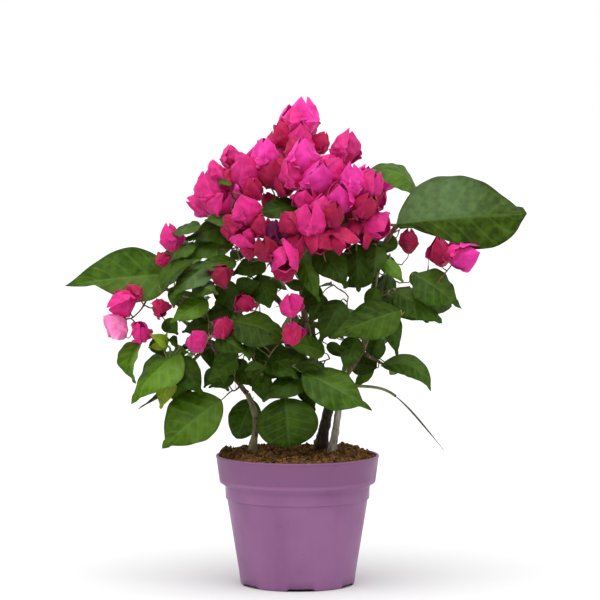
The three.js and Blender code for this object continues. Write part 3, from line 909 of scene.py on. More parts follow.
# Masses filled with leaves by the branching rule: how many, shortest, longest, and the tints to deal from.
LEAF_MASSES = {
    "left_upper_leaves": (6, 24, 38, "dark dark mid blue"),
    "left_blue_leaves": (6, 22, 36, "dark mid blue"),
    "left_inner_leaves": (6, 22, 34, "dark dark mid"),
    "centre_left_leaves": (6, 22, 34, "dark dark mid"),
    "long_centre_leaf": (2, 22, 30, "dark mid"),
    "centre_leaves": (5, 24, 36, "dark dark dark mid"),
    "centre_right_leaves": (6, 24, 36, "dark dark dark mid"),
    "broad_right_leaves": (4, 24, 36, "dark dark dark mid"),
    "lower_centre_leaves": (6, 24, 38, "dark dark mid"),
    "right_side_leaves": (3, 20, 30, "mid dark"),
    "right_hanging_leaf": (2, 18, 28, "dark mid"),
    "back_top_leaves": (9, 28, 44, "dark mid mid"),
    "back_left_leaves": (11, 30, 50, "dark mid bright"),
    "back_centre_leaves": (12, 30, 54, "dark mid mid blue"),
    "back_right_leaves": (12, 30, 54, "dark mid bright blue"),
    "back_low_left_leaves": (10, 30, 48, "dark mid bright"),
    "back_low_centre_leaves": (10, 30, 50, "dark mid mid"),
    "back_low_right_leaves": (10, 30, 48, "dark mid bright"),
}
OTHER_LEAVES = "dark mid"  # the tints of leaves in other masses
BOX_SPARE = 5.0  # how far a leaf may stand out of its mass
BY_HAND = {  # masses in which nothing more grows to cover bare patches
    "far_left_leaf", "great_right_leaf", "upper_right_leaf", "lower_left_leaf", "lower_centre_leaf",
    "round_front_leaf", "small_front_leaf", "left_lower_leaves", "right_lower_leaf", "left_crescent_leaf",
    "hanging_bracts", "low_left_bracts", "left_tip_bracts", "far_left_bracts", "right_side_bracts",
    "ring_bract", "bud_bracts", "top_right_bract", "top_bracts",
}


def outward_of(point, low, high):
    """Away from the middle of a mass, and away from the axis of the crown."""
    middle = (low + high) / 2
    return unit(unit(point - middle) + 0.8 * unit(np.array((point[0], point[1] * 1.6, 0))) + jitter(0.35))


def spread_twigs(names):
    """Leads twigs into the masses, always to the mass point nearest to the wood so far."""
    goals = []
    for name in names:
        low, high = span(name)
        count = int(np.clip(np.prod(high - low) / TWIG_SPACE, 1, MASS_TWIGS))
        for i in range(count):
            shares = rng.uniform(-0.5, 0.5, 3) if i else np.array((0.0, 0.1, -0.1))
            goals.append((low + high) / 2 + (high - low) / 2 * shares)
    while goals:
        away = [gaps(skeleton.points, goal).min() for goal in goals]
        goal = goals.pop(int(np.argmin(away)))
        if min(away) > NO_TWIG:
            grow_twig(skeleton.nearest(goal), goal)


def fill_with_leaves(name, count, shortest, longest, tints):
    """Grows this many leaves inside a mass, from the wood in it or the wood nearest to it."""
    low, high = span(name)
    wood = skeleton.points
    near = np.where(((wood > low - NEAR_MASS) & (wood < high + NEAR_MASS)).all(1))[0]
    if not len(near):
        near = np.array([skeleton.nearest((low + high) / 2)])
    made = tries = 0
    while made < count and tries < count * FILL_TRIES:
        tries += 1
        spot = skeleton.points[rng.choice(near)]
        out = outward_of(spot, low, high)
        base = spot + out * rng.uniform(7, 13)
        length = rng.uniform(shortest, longest)
        course = unit(out + jitter(0.35) - UP * rng.uniform(0.0, 0.7))
        tip = base + course * length
        facing = unit(UP * 0.9 + out * 0.7 + jitter(0.3))
        blade = Blade(base, tip, length * rng.uniform(0.52, 0.66), facing, fold=rng.uniform(-22, 14),
                      arch=rng.uniform(0.03, 0.16), ruffle=rng.uniform(0.02, 0.05),
                      sweep=rng.uniform(-0.06, 0.06), tail=rng.uniform(0.02, 0.1), lean=rng.uniform(0, 0.5))
        past_box = ((blade.grid <= low - BOX_SPARE) | (blade.grid >= high + BOX_SPARE)).any()
        if (past_box or front.outside(blade.grid) > FILL_PAST or clashes(blade) or bare_way(base)
                or crowded(blade, FILL_GAP * length)):
            continue
        add_leaf(name, blade, deal(tints), course)
        made += 1


def cover_with_leaves(seen, shortest, longest, least):
    """Grows leaves over every bare patch that the crown's leaf masses show in a view."""
    # How much may show past the outline in front, and how much a leaf and its stalk may hide.
    past, hidden, way_hidden = (MOST_PAST, 1.0, 1.0) if seen is front else (0.0, 0.3, 0.5)
    for cell, name, hit, way in seen.pick(LEAF_ENDS):
        spot = hit + way * rng.uniform(1, 8)
        inner = skeleton.points[skeleton.nearest(spot)]
        best, most = None, least
        for _ in range(LEAF_TRIES):
            length = rng.uniform(shortest, longest)
            swerve = jitter(0.9)
            out = unit(unit(spot - inner) + swerve - way * (swerve @ way) * 0.65 - UP * 0.25)
            facing = unit(UP * rng.uniform(0.2, 0.9) + jitter(0.3) - way * 0.8)
            base = spot - out * length * rng.uniform(0.3, 0.7)
            settings = dict(fold=rng.uniform(-20, 16), arch=rng.uniform(0.03, 0.13),
                            tail=rng.uniform(0.02, 0.1), sweep=rng.uniform(-0.06, 0.06),
                            ruffle=rng.uniform(0.02, 0.05))
            shape = (base, base + out * length, length * rng.uniform(0.54, 0.68), facing)
            trial = Blade(*shape, **settings, rows=14)
            if (seen.outside(trial.grid) > MOST_PAST or front.outside(trial.grid) > past
                    or crowded(trial, LEAF_GAP) or clashes(trial, hidden) or bare_way(base, way_hidden)):
                continue
            fresh, size = seen.gain(trial.grid)
            worth = fresh - SPILL * size
            if worth > most:
                best, most = (shape, settings, out), worth
        if best is None:
            seen.give_up(cell)
            continue
        shape, settings, out = best
        tints = LEAF_MASSES[name][3] if name in LEAF_MASSES else OTHER_LEAVES
        blade = Blade(*shape, **settings)
        add_leaf(name, blade, deal(tints), out)


# ---------------------------------------------------------------- blooms


# Painted light and shade among these tints: the bright pink is partly a painted highlight, dealt to blooms
# that face the light; the crimson is partly, and the maroon and plum wholly, painted shade for blooms deep in
# the crown. Magenta and rose are the bracts' own colours.
BRACT_TINTS = {  # inner and outer side of a bract, as they look on a screen
    "magenta": ((222, 32, 120), (230, 38, 130)),
    "bright": ((244, 42, 154), (250, 50, 164)),
    "crimson": ((172, 16, 66), (188, 22, 80)),
    "rose": ((250, 104, 172), (254, 126, 188)),
    "maroon": ((134, 8, 46), (146, 12, 54)),
    "plum": ((80, 10, 50), (92, 14, 62)),
}
bract_heaps = {tint: [] for tint in BRACT_TINTS}
tubes_of_flowers, flower_lips = Heap(), Heap()
bloom_centres = []
OPEN_SPREAD = 33  # a bloom with this spread or more is open
BLOOM_TRIES, BLOOM_FILL_TRIES = 20, 40  # trials for each bare cell, and for each bloom that fills a mass
LEAST_CELLS = 6  # a bloom must cover more bare cells than this
BROAD = 1.25  # how much wider than its disc a bloom may turn out
BROAD_PAST = 0.04  # the share of this broad disc that may show past the crown's outline
BROAD_HIDING = 0.3  # the share of it that may hide the listed blades
BLOOM_GAP = 0.48  # the least that lies between the middles of two blooms, as a share of the length
FLOWER_RADII = (0.5, 0.7, 0.9, 0.75, 0.7, 1.0)  # along a flower's tube
STAR_RADII = (2.3, 1.3) * 5  # round the star at its mouth

# Blooms that show by themselves, by mass: middle in its box, axis, length of a bract, how far open, tint.
BLOOMS = [
    ("top_bracts", [
        ((0.2, -0.1, 0.3), (0.05, -0.15, 1), 32, 20, "bright"),
        ((0, -0.2, 0.2), (-0.15, -0.2, 1), 26, 22, "magenta"),
        ((-0.32, -0.3, -0.22), (-0.5, -0.5, 0.6), 26, 30, "crimson"),
        ((0.68, -0.2, -0.45), (0.5, -0.5, 0.6), 20, 18, "crimson"),
        ((0.1, -0.6, -0.35), (0.1, -0.8, 0.5), 26, 30, "magenta"),
    ]),
    ("top_right_bract", [((-0.05, -0.1, 0.05), (0.3, -0.35, 0.9), 31, 24, "magenta")]),
    ("crown_bracts", [
        ((0, -0.5, 0.5), (-0.05, -0.6, 0.8), 30, 26, "bright"),
        ((0.35, -0.7, -0.05), (0.25, -0.85, 0.4), 28, 32, "bright"),
        ((-0.4, -0.5, 0.05), (-0.3, -0.8, 0.4), 26, 30, "magenta"),
        ((0.8, -0.4, 0.15), (0.6, -0.6, 0.5), 25, 28, "magenta"),
        ((-0.65, -0.3, -0.2), (-0.3, -0.9, 0.1), 22, 30, "crimson"),
        ((0.1, -0.8, -0.55), (0, -0.9, -0.1), 25, 30, "magenta"),
        ((0.85, -0.6, -0.5), (0.4, -0.9, -0.1), 24, 30, "crimson"),
    ]),
    ("upper_left_bracts", [
        ((0.2, -0.3, 0.4), (0.1, -0.5, 0.85), 28, 26, "bright"),
        ((0.4, -0.6, -0.1), (0.2, -0.9, 0.3), 24, 30, "crimson"),
        ((-0.45, -0.5, -0.1), (-0.3, -0.8, 0.5), 27, 30, "magenta"),
        ((-0.25, -0.8, -0.5), (0, -0.9, 0), 22, 32, "crimson"),
    ]),
    ("bud_bracts", [((0.05, 0, 0.1), (0, -0.2, 1), 22, 14, "magenta")]),
    ("left_bracts", [
        ((-0.1, -0.4, -0.15), (-0.3, -0.5, 0.9), 30, 28, "magenta"),
        ((0.1, -0.2, 0.6), (-0.3, -0.5, 0.8), 20, 22, "magenta"),
        ((0.3, -0.7, -0.5), (0.3, -0.9, 0), 24, 30, "magenta"),
    ]),
    ("right_bracts", [
        ((-0.15, -0.5, 0.45), (0, -0.7, 0.7), 28, 28, "bright"),
        ((0.45, -0.4, 0.4), (0.5, -0.7, 0.5), 27, 28, "magenta"),
        ((-0.5, -0.6, 0.05), (-0.1, -0.9, 0.2), 26, 32, "bright"),
        ((0.25, -0.6, -0.1), (0.2, -0.9, 0), 24, 32, "crimson"),
        ((0.65, -0.3, -0.62), (0.4, -0.8, -0.3), 26, 26, "magenta"),
        ((0.1, -0.4, -0.75), (0, -0.9, -0.3), 24, 30, "crimson"),
    ]),
    ("centre_bracts", [
        ((-0.2, -0.5, 0.15), (0, -0.9, 0.3), 29, 30, "magenta"),
        ((0.1, -0.4, -0.45), (0, -0.85, -0.4), 26, 32, "crimson"),
        ((0.75, -0.2, -0.4), (0.4, -0.85, -0.3), 24, 30, "crimson"),
        ((-0.75, -0.3, 0.1), (-0.5, -0.8, 0.1), 22, 28, "crimson"),
        ((0.5, -0.3, 0.35), (0.3, -0.9, 0.3), 24, 30, "maroon"),
    ]),
    ("low_centre_bracts", [
        ((-0.3, -0.4, 0.1), (-0.3, -0.85, 0.2), 24, 30, "maroon"),
        ((0.35, -0.6, -0.2), (0.1, -0.9, -0.3), 25, 30, "magenta"),
        ((0.75, -0.2, 0.35), (0.4, -0.8, 0.1), 20, 28, "crimson"),
        # A near-black purple bloom that stands in for the shadowed hollow in the middle of the crown: painted
        # shade.
        ((-0.1, 0.2, 0.8), (0, -0.9, 0.2), 20, 26, "plum"),
    ]),
    ("centre_left_bracts", [
        ((0, -0.4, 0.4), (-0.2, -0.8, 0.5), 25, 28, "magenta"),
        ((0, -0.6, -0.55), (-0.1, -0.9, -0.2), 20, 28, "magenta"),
        ((0.7, -0.4, -0.1), (0.3, -0.9, 0), 20, 28, "crimson"),
        ((-0.45, -0.3, 0), (-0.6, -0.8, 0), 20, 26, "crimson"),
    ]),
    ("far_left_bracts", [
        ((-0.05, -0.2, 0.42), (-0.3, -0.4, 0.85), 25, 28, "magenta"),
        ((-0.45, 0, -0.6), (-0.7, -0.4, -0.3), 15, 20, "crimson"),
    ]),
    ("left_tip_bracts", [
        ((-0.3, -0.1, 0.48), (-0.75, -0.5, -0.4), 26, 26, "magenta"),
        ((0.05, 0.1, 0.75), (-0.3, -0.4, 0.1), 18, 24, "crimson"),
        ((-0.5, -0.3, -0.48), (-0.6, -0.7, 0.1), 26, 32, "rose"),
        ((0.25, -0.3, -0.65), (0, -0.9, -0.1), 21, 30, "magenta"),
        ((0.8, -0.2, 0.28), (0.1, -0.7, -0.5), 18, 18, "crimson"),
    ]),
    ("low_left_bracts", [
        ((0.45, -0.3, 0.3), (0.1, -0.9, 0.1), 22, 24, "crimson"),
        ((-0.45, -0.3, -0.38), (-0.2, -0.9, 0.1), 21, 24, "magenta"),
    ]),
    ("hanging_bracts", [
        ((0.05, -0.1, 0.48), (0, -0.8, 0.3), 21, 28, "magenta"),
        ((0.15, 0, -0.3), (0.1, -0.6, -0.7), 23, 18, "crimson"),
    ]),
    ("centre_left_leaves", [((-0.35, -0.8, -0.72), (-0.2, -0.9, -0.1), 19, 26, "crimson")]),
    ("left_blue_leaves", [((0.75, -0.7, 0.5), (0.3, -0.9, 0), 20, 28, "maroon")]),
    ("ring_bract", [((-0.02, 0, 0), (0.05, -0.3, 1), 20, 16, "maroon")]),
    ("right_side_bracts", [
        ((0.38, -0.1, 0.3), (0.9, -0.35, -0.2), 27, 28, "bright"),
        ((0.1, -0.2, 0.5), (0.5, -0.6, -0.2), 22, 26, "magenta"),
        ((-0.4, 0.1, 0.5), (-0.1, -0.6, 0.3), 27, 26, "crimson"),
    ]),
]

BLOOM_MASSES = {  # how many more blooms the branching rule adds, their lengths and tints
    "top_bracts": (4, 22, 30, "magenta bright crimson"),
    "crown_bracts": (5, 22, 30, "magenta crimson"),
    "upper_left_bracts": (3, 20, 28, "magenta crimson"),
    "left_bracts": (3, 20, 28, "magenta crimson"),
    "right_bracts": (4, 20, 28, "magenta crimson"),
    "centre_bracts": (2, 20, 26, "magenta crimson"),
    "low_centre_bracts": (1, 18, 24, "crimson"),
    "centre_left_bracts": (1, 18, 24, "crimson"),
    "back_crown_bracts": (6, 20, 28, "magenta bright crimson"),
    "back_left_bracts": (4, 20, 28, "magenta bright rose"),
    "back_right_bracts": (5, 20, 28, "magenta bright crimson"),
}
OTHER_BLOOMS = "magenta crimson"  # the tints of blooms in other masses


def add_bloom(mass, middle, axis, size, spread, tint, by_hand=False):
    """Three papery bracts round three small tubular flowers, on one stalk; a loose one is on the far side."""
    axis = unit(axis)
    if axis[2] > -0.25:
        axis = unit(axis * (1, 0.45, 1) + UP * 0.5)
    foot = middle - axis * size * 0.45
    closed = spread < OPEN_SPREAD
    heap = heap_with_room(bract_heaps[tint], 3)
    first = unit(aside(axis))
    second = np.cross(axis, first)
    away = FRONT * math.copysign(1, middle[1])
    spin = math.atan2(away @ second, away @ first) + TURN / 3 + rng.normal(0, 0.45)
    for k in range(3):
        turn = spin + k * TURN / 3 + rng.normal(0, 0.12)
        out = first * math.cos(turn) + second * math.sin(turn)
        loose = rng.uniform(0.6, 1.0) if closed and k == 2 else 0
        lean = math.radians((spread * 0.12 + 12 * loose if closed else spread * 1.1) + rng.normal(0, 2))
        reach = size * rng.uniform(0.92, 1.06) * (1 - 0.12 * loose)
        tip = foot + (axis * math.cos(lean) + out * math.sin(lean)) * reach
        blade = Blade(foot + out * 0.8, tip, reach * rng.uniform(0.98, 1.14), -out + axis * 0.1,
                      fold=rng.uniform(14, 26), arch=-rng.uniform(0.27, 0.35) if closed else -0.16,
                      ruffle=rng.uniform(0.025, 0.05), waves=rng.uniform(1.8, 3.2), cup=0.16, rise=0.5,
                      fall=0.62, rows=20, columns=14, thick=0.18, rib=0.25, twist=rng.normal(0, 12),
                      lean=-0.2, sweep=rng.normal(0, 0.04), crinkle=0.022)
        mark_all(blade.grid)
        if by_hand:
            keep_in_front(blade.grid)
        blade.into(heap)
        turn += math.pi / 3
        away = first * math.cos(turn) + second * math.sin(turn)
        end = foot + axis * size * 0.5 + away * size * 0.07
        line = curve_points(foot, foot + axis * size * 0.2 + away * 1.5, end - axis * size * 0.2, end,
                            len(FLOWER_RADII))
        tube(tubes_of_flowers, line, FLOWER_RADII)
        if k == 0 and not closed:
            add_flower_lip(end, unit(end - line[-2]))
    heap.masses.add(mass)
    bloom_centres.append(middle)
    connect(foot, axis, BLOOM_STALK, peduncles, 0.5, woody=False)


def add_flower_lip(point, axis):
    """The small cream star at the mouth of a flower."""
    first = unit(aside(axis))
    second = np.cross(axis, first)
    turns = angles(len(STAR_RADII))[:, None]
    star = (first * np.cos(turns) + second * np.sin(turns)) * np.array(STAR_RADII)[:, None]
    ring = point + star + axis * 0.7
    verts = np.vstack((ring, ring - axis * 0.25, point + axis * 0.1, point - axis * 0.3))
    flower_lips.add(verts, ring_faces(2, len(STAR_RADII), flip=True))


def hand_blooms():
    for mass, rows in BLOOMS:
        for middle, axis, size, spread, tint in rows:
            larger = 1.1 if mass in BLOOM_MASSES else 1.0
            add_bloom(mass, at(mass, *middle), axis, size * larger, spread, tint, True)


def bloom_disc(middle, size, right=np.array((1.0, 0.0, 0.0))):
    """Points over the disc that a bloom covers in the view with this right hand."""
    turns = np.arange(0, TURN, 0.4)[:, None]
    ring = right * np.cos(turns) + UP * 1.1 * np.sin(turns)
    return np.vstack([middle + ring * size * r for r in (0.1, 0.25, 0.38)])


def cover_with_blooms(seen, shortest, longest):
    """Grows blooms over every bare patch that the crown's bract masses show in a view."""
    for cell, name, hit, way in seen.pick(BRACT_ENDS):
        best, most = None, LEAST_CELLS
        for _ in range(BLOOM_TRIES):
            size = rng.uniform(shortest, longest)
            swerve = jitter(size * 0.2)
            spot = hit + way * size * 0.4 + swerve - way * (swerve @ way) * 0.8
            disc = bloom_disc(spot, size, seen.right)
            fresh, _ = seen.gain(disc)
            broad = bloom_disc(spot, size * (1.0 if seen is front else BROAD))
            fits = front.outside(broad) < BROAD_PAST and hides(broad) < BROAD_HIDING
            if fits and seen.outside(disc) < MOST_PAST and fresh > most:
                best, most = (spot, size), fresh
        if best is None:
            seen.give_up(cell)
            continue
        spot, size = best
        tints = BLOOM_MASSES[name][3] if name in BLOOM_MASSES else OTHER_BLOOMS
        axis = unit(unit(spot * (1, 1, 0) - way * 20) + UP * 0.6 + jitter(0.3))
        add_bloom(name, spot, axis, size, rng.uniform(20, 32), deal(tints))


def fill_with_blooms(name, count, shortest, longest, tints):
    """Grows this many more blooms in a mass, on the side that shows."""
    low, high = span(name)
    widest = 36 if name.startswith("back") else 32
    made = tries = 0
    while made < count and tries < count * BLOOM_FILL_TRIES:
        tries += 1
        out = unit(jitter(1))
        if out[1] * np.sign((low + high)[1]) < -0.3 or out[2] < -0.6:
            continue
        middle = (low + high) / 2 + (high - low) / 2 * out * rng.uniform(0.35, 0.72)
        size = rng.uniform(shortest, longest)
        broad = bloom_disc(middle, size * BROAD)
        near = gaps(bloom_centres, middle).min()
        if front.outside(broad) > BROAD_PAST or hides(broad) > BROAD_HIDING or near < BLOOM_GAP * size:
            continue
        axis = unit(out + UP * 0.35 + jitter(0.2))
        add_bloom(name, middle, axis, size, rng.uniform(20, widest), deal(tints))
        made += 1


# ---------------------------------------------------------------- the drooping leaf


DROOP_STALK = 0.42  # the share of its line that is stalk
DROOP_HALF, DROOP_COLUMNS = 5.4, 7
DROOP_THICK = 0.45


def droop(line):
    """The leaf that hangs edge on to the right: a long stalk, then a folded blade."""
    split = int(len(line) * DROOP_STALK)
    tube(petioles, line[: split + 2], np.linspace(1.3, 1.1, split + 2), 8)
    s = np.linspace(0, 1, len(line) - split)
    blade_line = line[split:] + np.sin(math.pi * s)[:, None] * (2.8, 0, 0.2)
    half = DROOP_HALF * outline(s, 0.5, 0.8, 0.12)
    flat = unit((0.12, -1.0, 0.05))
    grid = []
    for p, h, w in zip(blade_line, headings(blade_line), half):
        normal = unit(np.cross(h, flat))
        normal = normal if normal[2] > 0 else -normal
        wide = np.cross(normal, h)
        grid.append([p + flat * w * t * 1.5 + wide * w * t * 0.16 - normal * abs(t) * w * 0.2
                     for t in np.linspace(-1, 1, DROOP_COLUMNS)])
    grid = np.array(grid)
    heap = heap_with_room(leaf_heaps["dark"])
    ThinSkin(grid, grid - UP * DROOP_THICK).into(heap)
    heap.masses.add("drooping_leaf")


# ---------------------------------------------------------------- soil


soil_mound, crumbs_dark, crumbs_brown, crumbs_rust, fibres = (Heap() for _ in range(5))
SOIL_EDGE = 62.8
SOIL_STEPS, SOIL_SIDES = 44, 128
PLATEAU, DROP = 42.0, 5.6  # how far out the mound is level, and how far it falls from there to the rim
SOIL_FOOT = (59.5, 86.0)  # radius and height of the underside
CRUMBS, FIBRES = 1500, 230
SOIL_HEAPS = ((-60, 12, 6, 10), (-48, 32, 3, 14), (46, 20, 3, 15), (34, 40, 3, 16))  # middle, height, width


def soil_height(x, y):
    """Height of the potting soil: a low mound that falls to the rim, with clods and hollows."""
    r = math.hypot(x, y)
    top = span("soil")[1][2]
    fall = DROP * np.clip((r - PLATEAU) / (SOIL_EDGE - PLATEAU), 0, 1) ** 1.3
    fall -= sum(h * math.exp(-((x - cx) ** 2 + (y - cy) ** 2) / w**2) for cx, cy, h, w in SOIL_HEAPS)
    lumps = sum(h * lumpy(x * f, y * f, z) for h, f, z in ((1.2, 0.06, 3), (0.9, 0.17, 9), (0.6, 0.45, 5)))
    return top - 1.0 - fall + lumps


def random_spot(share):
    """A random spot on the soil, within this share of its area."""
    r = SOIL_EDGE * math.sqrt(rng.uniform(0, share))
    a = rng.uniform(0, TURN)
    return r * math.cos(a), r * math.sin(a)


def make_soil():
    verts = []
    for i in range(1, SOIL_STEPS + 1):
        r = SOIL_EDGE * i / SOIL_STEPS
        for a in angles(SOIL_SIDES):
            x, y = r * math.cos(a), r * math.sin(a)
            verts.append((x, y, soil_height(x, y)))
    inward = SOIL_FOOT[0] / SOIL_EDGE
    verts += [(x * inward, y * inward, SOIL_FOOT[1]) for x, y, _ in verts[-SOIL_SIDES:]]
    verts += [(0, 0, soil_height(0, 0)), (0, 0, SOIL_FOOT[1])]
    soil_mound.add(np.array(verts), ring_faces(SOIL_STEPS + 1, SOIL_SIDES, flip=True))


CRUMB = np.array([(0, 0, 1), (0.9, 0, 0.4), (0.28, 0.85, 0.4), (-0.73, 0.53, 0.4), (-0.73, -0.53, 0.4),
                  (0.28, -0.85, 0.4), (0.73, 0.53, -0.4), (-0.28, 0.85, -0.4), (-0.9, 0, -0.4),
                  (-0.28, -0.85, -0.4), (0.73, -0.53, -0.4), (0, 0, -1)])
CRUMB_FACES = []
for j in range(5):
    k = (j + 1) % 5
    CRUMB_FACES += [(0, 1 + j, 1 + k), (1 + j, 6 + j, 1 + k), (6 + j, 6 + k, 1 + k), (11, 6 + k, 6 + j)]


def add_crumb(heap, x, y, size):
    shape = CRUMB * rng.uniform(0.55, 1.25, (12, 1)) * size * rng.uniform(0.6, 1.3, 3)
    turn = rng.uniform(0, TURN)
    c, s = math.cos(turn), math.sin(turn)
    shape = shape @ np.array(((c, -s, 0), (s, c, 0), (0, 0, 1)))
    heap.add(shape + np.array((x, y, soil_height(x, y) + size * 0.25)), CRUMB_FACES)


def scatter_soil():
    for _ in range(CRUMBS):
        x, y = random_spot(0.99)
        rusty = rng.random() < 0.1 + 0.16 * (y < -30)
        heap = crumbs_rust if rusty else crumbs_brown if rng.random() < 0.45 else crumbs_dark
        add_crumb(heap, x, y, rng.uniform(0.5, 1.7) if rng.random() < 0.85 else rng.uniform(1.7, 2.8))
    for _ in range(FIBRES):
        x, y = random_spot(0.97)
        turn, size = rng.uniform(0, TURN), rng.uniform(3, 9)
        ends = []
        for share in (-0.5, -0.17, 0.17, 0.5):
            px, py = x + math.cos(turn) * size * share, y + math.sin(turn) * size * share
            scale = min(1, (SOIL_EDGE - 0.5) / max(math.hypot(px, py), 1))
            px, py = px * scale, py * scale
            ends.append(np.array((px, py, soil_height(px, py) + rng.uniform(0.2, 1.3))))
        tube(fibres, curve_points(*ends, 6), (0.12, 0.25, 0.3, 0.3, 0.22, 0.1), 4)


# ---------------------------------------------------------------- pot


POT_SIDES = 192
NOTCHES, NOTCH_WIDTH, NOTCH_HEIGHT, NOTCH_TURN = 6, 21.0, 2.1, 0.06
FOOT_RING = (40, 48)  # the radii between which the foot has its notches
pot_shell = Heap()


def rounded(profile):
    """A profile whose corners are cut round: each corner gives its radius."""
    out = []
    for i, (r, z, cut) in enumerate(profile):
        here = np.array((r, z), float)
        if not cut:
            out.append(here)
            continue
        a, b = (here + unit(np.array(profile[k][:2]) - here) * cut for k in (i - 1, i + 1))
        out += [a * (1 - s) ** 2 + 2 * here * s * (1 - s) + b * s * s for s in np.linspace(0, 1, 5)]
    return np.array(out)


def pot_profile():
    """From the middle of the underside, up the outside, over the rim and down inside to the floor."""
    rim, _, top = span("pot")[1]
    return rounded([
        (0, 2.4, 0), (40.5, 2.4, 0.6), (42.4, 0, 0.5), (45.2, 0, 1.6), (46.4, 9, 0.3), (46.5, 10, 0.3),
        (55.9, 68.2, 0.5), (57.1, 68.8, 0.4), (57.4, 78, 0.3), (58.4, 79.6, 0.8), (61.9, 81.5, 0.9),
        (64.4, top - 2, 0.5), (rim, top - 1.2, 0.5), (rim - 0.3, top, 0.5), (rim - 1.9, top, 0.5),
        (rim - 2.4, top - 1.2, 0.4), (60.6, 82.4, 0.8), (55.6, 78, 1.2), (54.2, 68, 1), (44.6, 6, 2),
        (0, 4, 0),
    ])


def notch_lift(angle, radius):
    """How far the foot is raised at an angle: the drain notches."""
    step = TURN / NOTCHES
    offset = (angle - NOTCH_TURN) % step - step / 2
    away = abs(offset) * radius / (NOTCH_WIDTH / 2)
    return NOTCH_HEIGHT * float(np.clip((1.12 - away) / 0.2, 0, 1))


def make_pot():
    profile = pot_profile()
    near, far = FOOT_RING
    verts = []
    for r, z in profile[1:-1]:
        for a in angles(POT_SIDES):
            wobble = 1 + 0.0006 * math.sin(3 * a + 1) + 0.0004 * math.sin(7 * a)
            lift = notch_lift(a, r) if near < r < far and z < NOTCH_HEIGHT else 0
            verts.append((r * wobble * math.cos(a), r * wobble * math.sin(a), max(z, lift)))
    verts += [(0, 0, profile[i][1]) for i in (0, -1)]
    pot_shell.add(np.array(verts), ring_faces(len(profile) - 2, POT_SIDES))


# ---------------------------------------------------------------- materials


class Nodes:
    """A node tree with short ways to add to it; an input is a number, a colour or another node's output."""

    def __init__(self, tree):
        self.tree = tree

    def feed(self, socket, value):
        if isinstance(value, bpy.types.NodeSocket):
            self.tree.links.new(value, socket)
        else:
            socket.default_value = value

    def node(self, kind, inputs, result=0, **settings):
        """Adds a node with its inputs by name or place, and gives the output asked for."""
        n = self.tree.nodes.new("ShaderNode" + kind)
        for key, value in settings.items():
            setattr(n, key, value)
        for key, value in inputs.items():
            self.feed(n.inputs[key], value)
        return n.outputs[result]

    def calc(self, operation, a, b=0.0):
        return self.node("Math", {0: a, 1: b}, operation=operation)

    def blend(self, share, a, b, how="MIX"):
        return self.node("Mix", {0: share, 6: a, 7: b}, 2, data_type="RGBA", blend_type=how)

    def remap(self, value, a, b, c, d):
        return self.node("MapRange", {0: value, 1: a, 2: b, 3: c, 4: d}, interpolation_type="SMOOTHSTEP")

    def part(self, vector, i):
        """X, Y or Z of a vector, by number."""
        return self.node("SeparateXYZ", {0: vector}, i)

    def place(self):
        """The place on the piece, in metres."""
        return self.node("TexCoord", {}, "Object")

    def cloud(self, scale, detail=3.0, stretch=(1, 1, 1), distortion=0.0):
        """Noise in the piece's own space."""
        mapped = self.node("Mapping", {"Vector": self.place(), "Scale": stretch})
        given = {"Vector": mapped, "Scale": scale, "Detail": detail, "Distortion": distortion}
        return self.node("TexNoise", given, "Fac")

    def mottled(self, cloud, low, high, deep, light):
        """Two colours dealt out by a cloud."""
        return self.blend(self.remap(cloud, low, high, 0, 1), colour(*deep), colour(*light))

    def shaded(self, base, shade):
        """A colour times a shade of grey."""
        return self.blend(1.0, base, self.node("CombineColor", dict.fromkeys(range(3), shade)), "MULTIPLY")


class Paint(Nodes):
    """A new material."""

    def __init__(self, name, roughness, specular=0.5):
        self.material = bpy.data.materials.new(name)
        self.material.use_nodes = True
        super().__init__(self.material.node_tree)
        self.shader = self.tree.nodes["Principled BSDF"]
        self.set({"Roughness": roughness, "Specular IOR Level": specular})

    def set(self, inputs):
        for key, value in inputs.items():
            self.feed(self.shader.inputs[key], value)

    def finish(self, base, height=None, strength=0.3, distance=0.0005):
        self.set({"Base Color": base})
        if height is not None:
            bump = {"Strength": strength, "Distance": distance, "Height": height}
            self.set({"Normal": self.node("Bump", bump)})
        return self.material


def blade_coordinates(paint, middle):
    """Where a point lies on its own leaf: along it 0 to 1, across it -1 to 1, and a number for the leaf."""
    calc = paint.calc
    uv = paint.node("UVMap", {}, uv_map=UV_NAME)
    across, along = (calc("MULTIPLY", paint.part(uv, i), CELLS) for i in (0, 1))
    cell = paint.node("CombineXYZ", {"X": calc("FLOOR", across), "Y": calc("FLOOR", along)})
    chance = paint.node("TexWhiteNoise", {"Vector": cell}, "Value", noise_dimensions="2D")
    across, along = (calc("FRACT", v) for v in (across, along))
    across = calc("DIVIDE", calc("SUBTRACT", across, middle), CELL_HALF)
    along = calc("DIVIDE", calc("SUBTRACT", along, CELL_LOW), CELL_HIGH)
    return along, across, chance


def vein_lines(paint, along, across, count, slant, rib, line):
    """1 on the midrib and along the side veins, 0 between them."""
    calc, remap = paint.calc, paint.remap
    across = calc("ABSOLUTE", across)
    midrib = remap(across, rib * 0.3, rib, 1, 0)
    phase = calc("SUBTRACT", calc("MULTIPLY", along, count), calc("MULTIPLY", across, slant))
    nearby = calc("ABSOLUTE", calc("SUBTRACT", calc("FRACT", phase), 0.5))
    lateral = calc("MULTIPLY", remap(nearby, line * 0.2, line, 1, 0), remap(across, 0.75, 1, 0.7, 0))
    return calc("MAXIMUM", midrib, lateral)


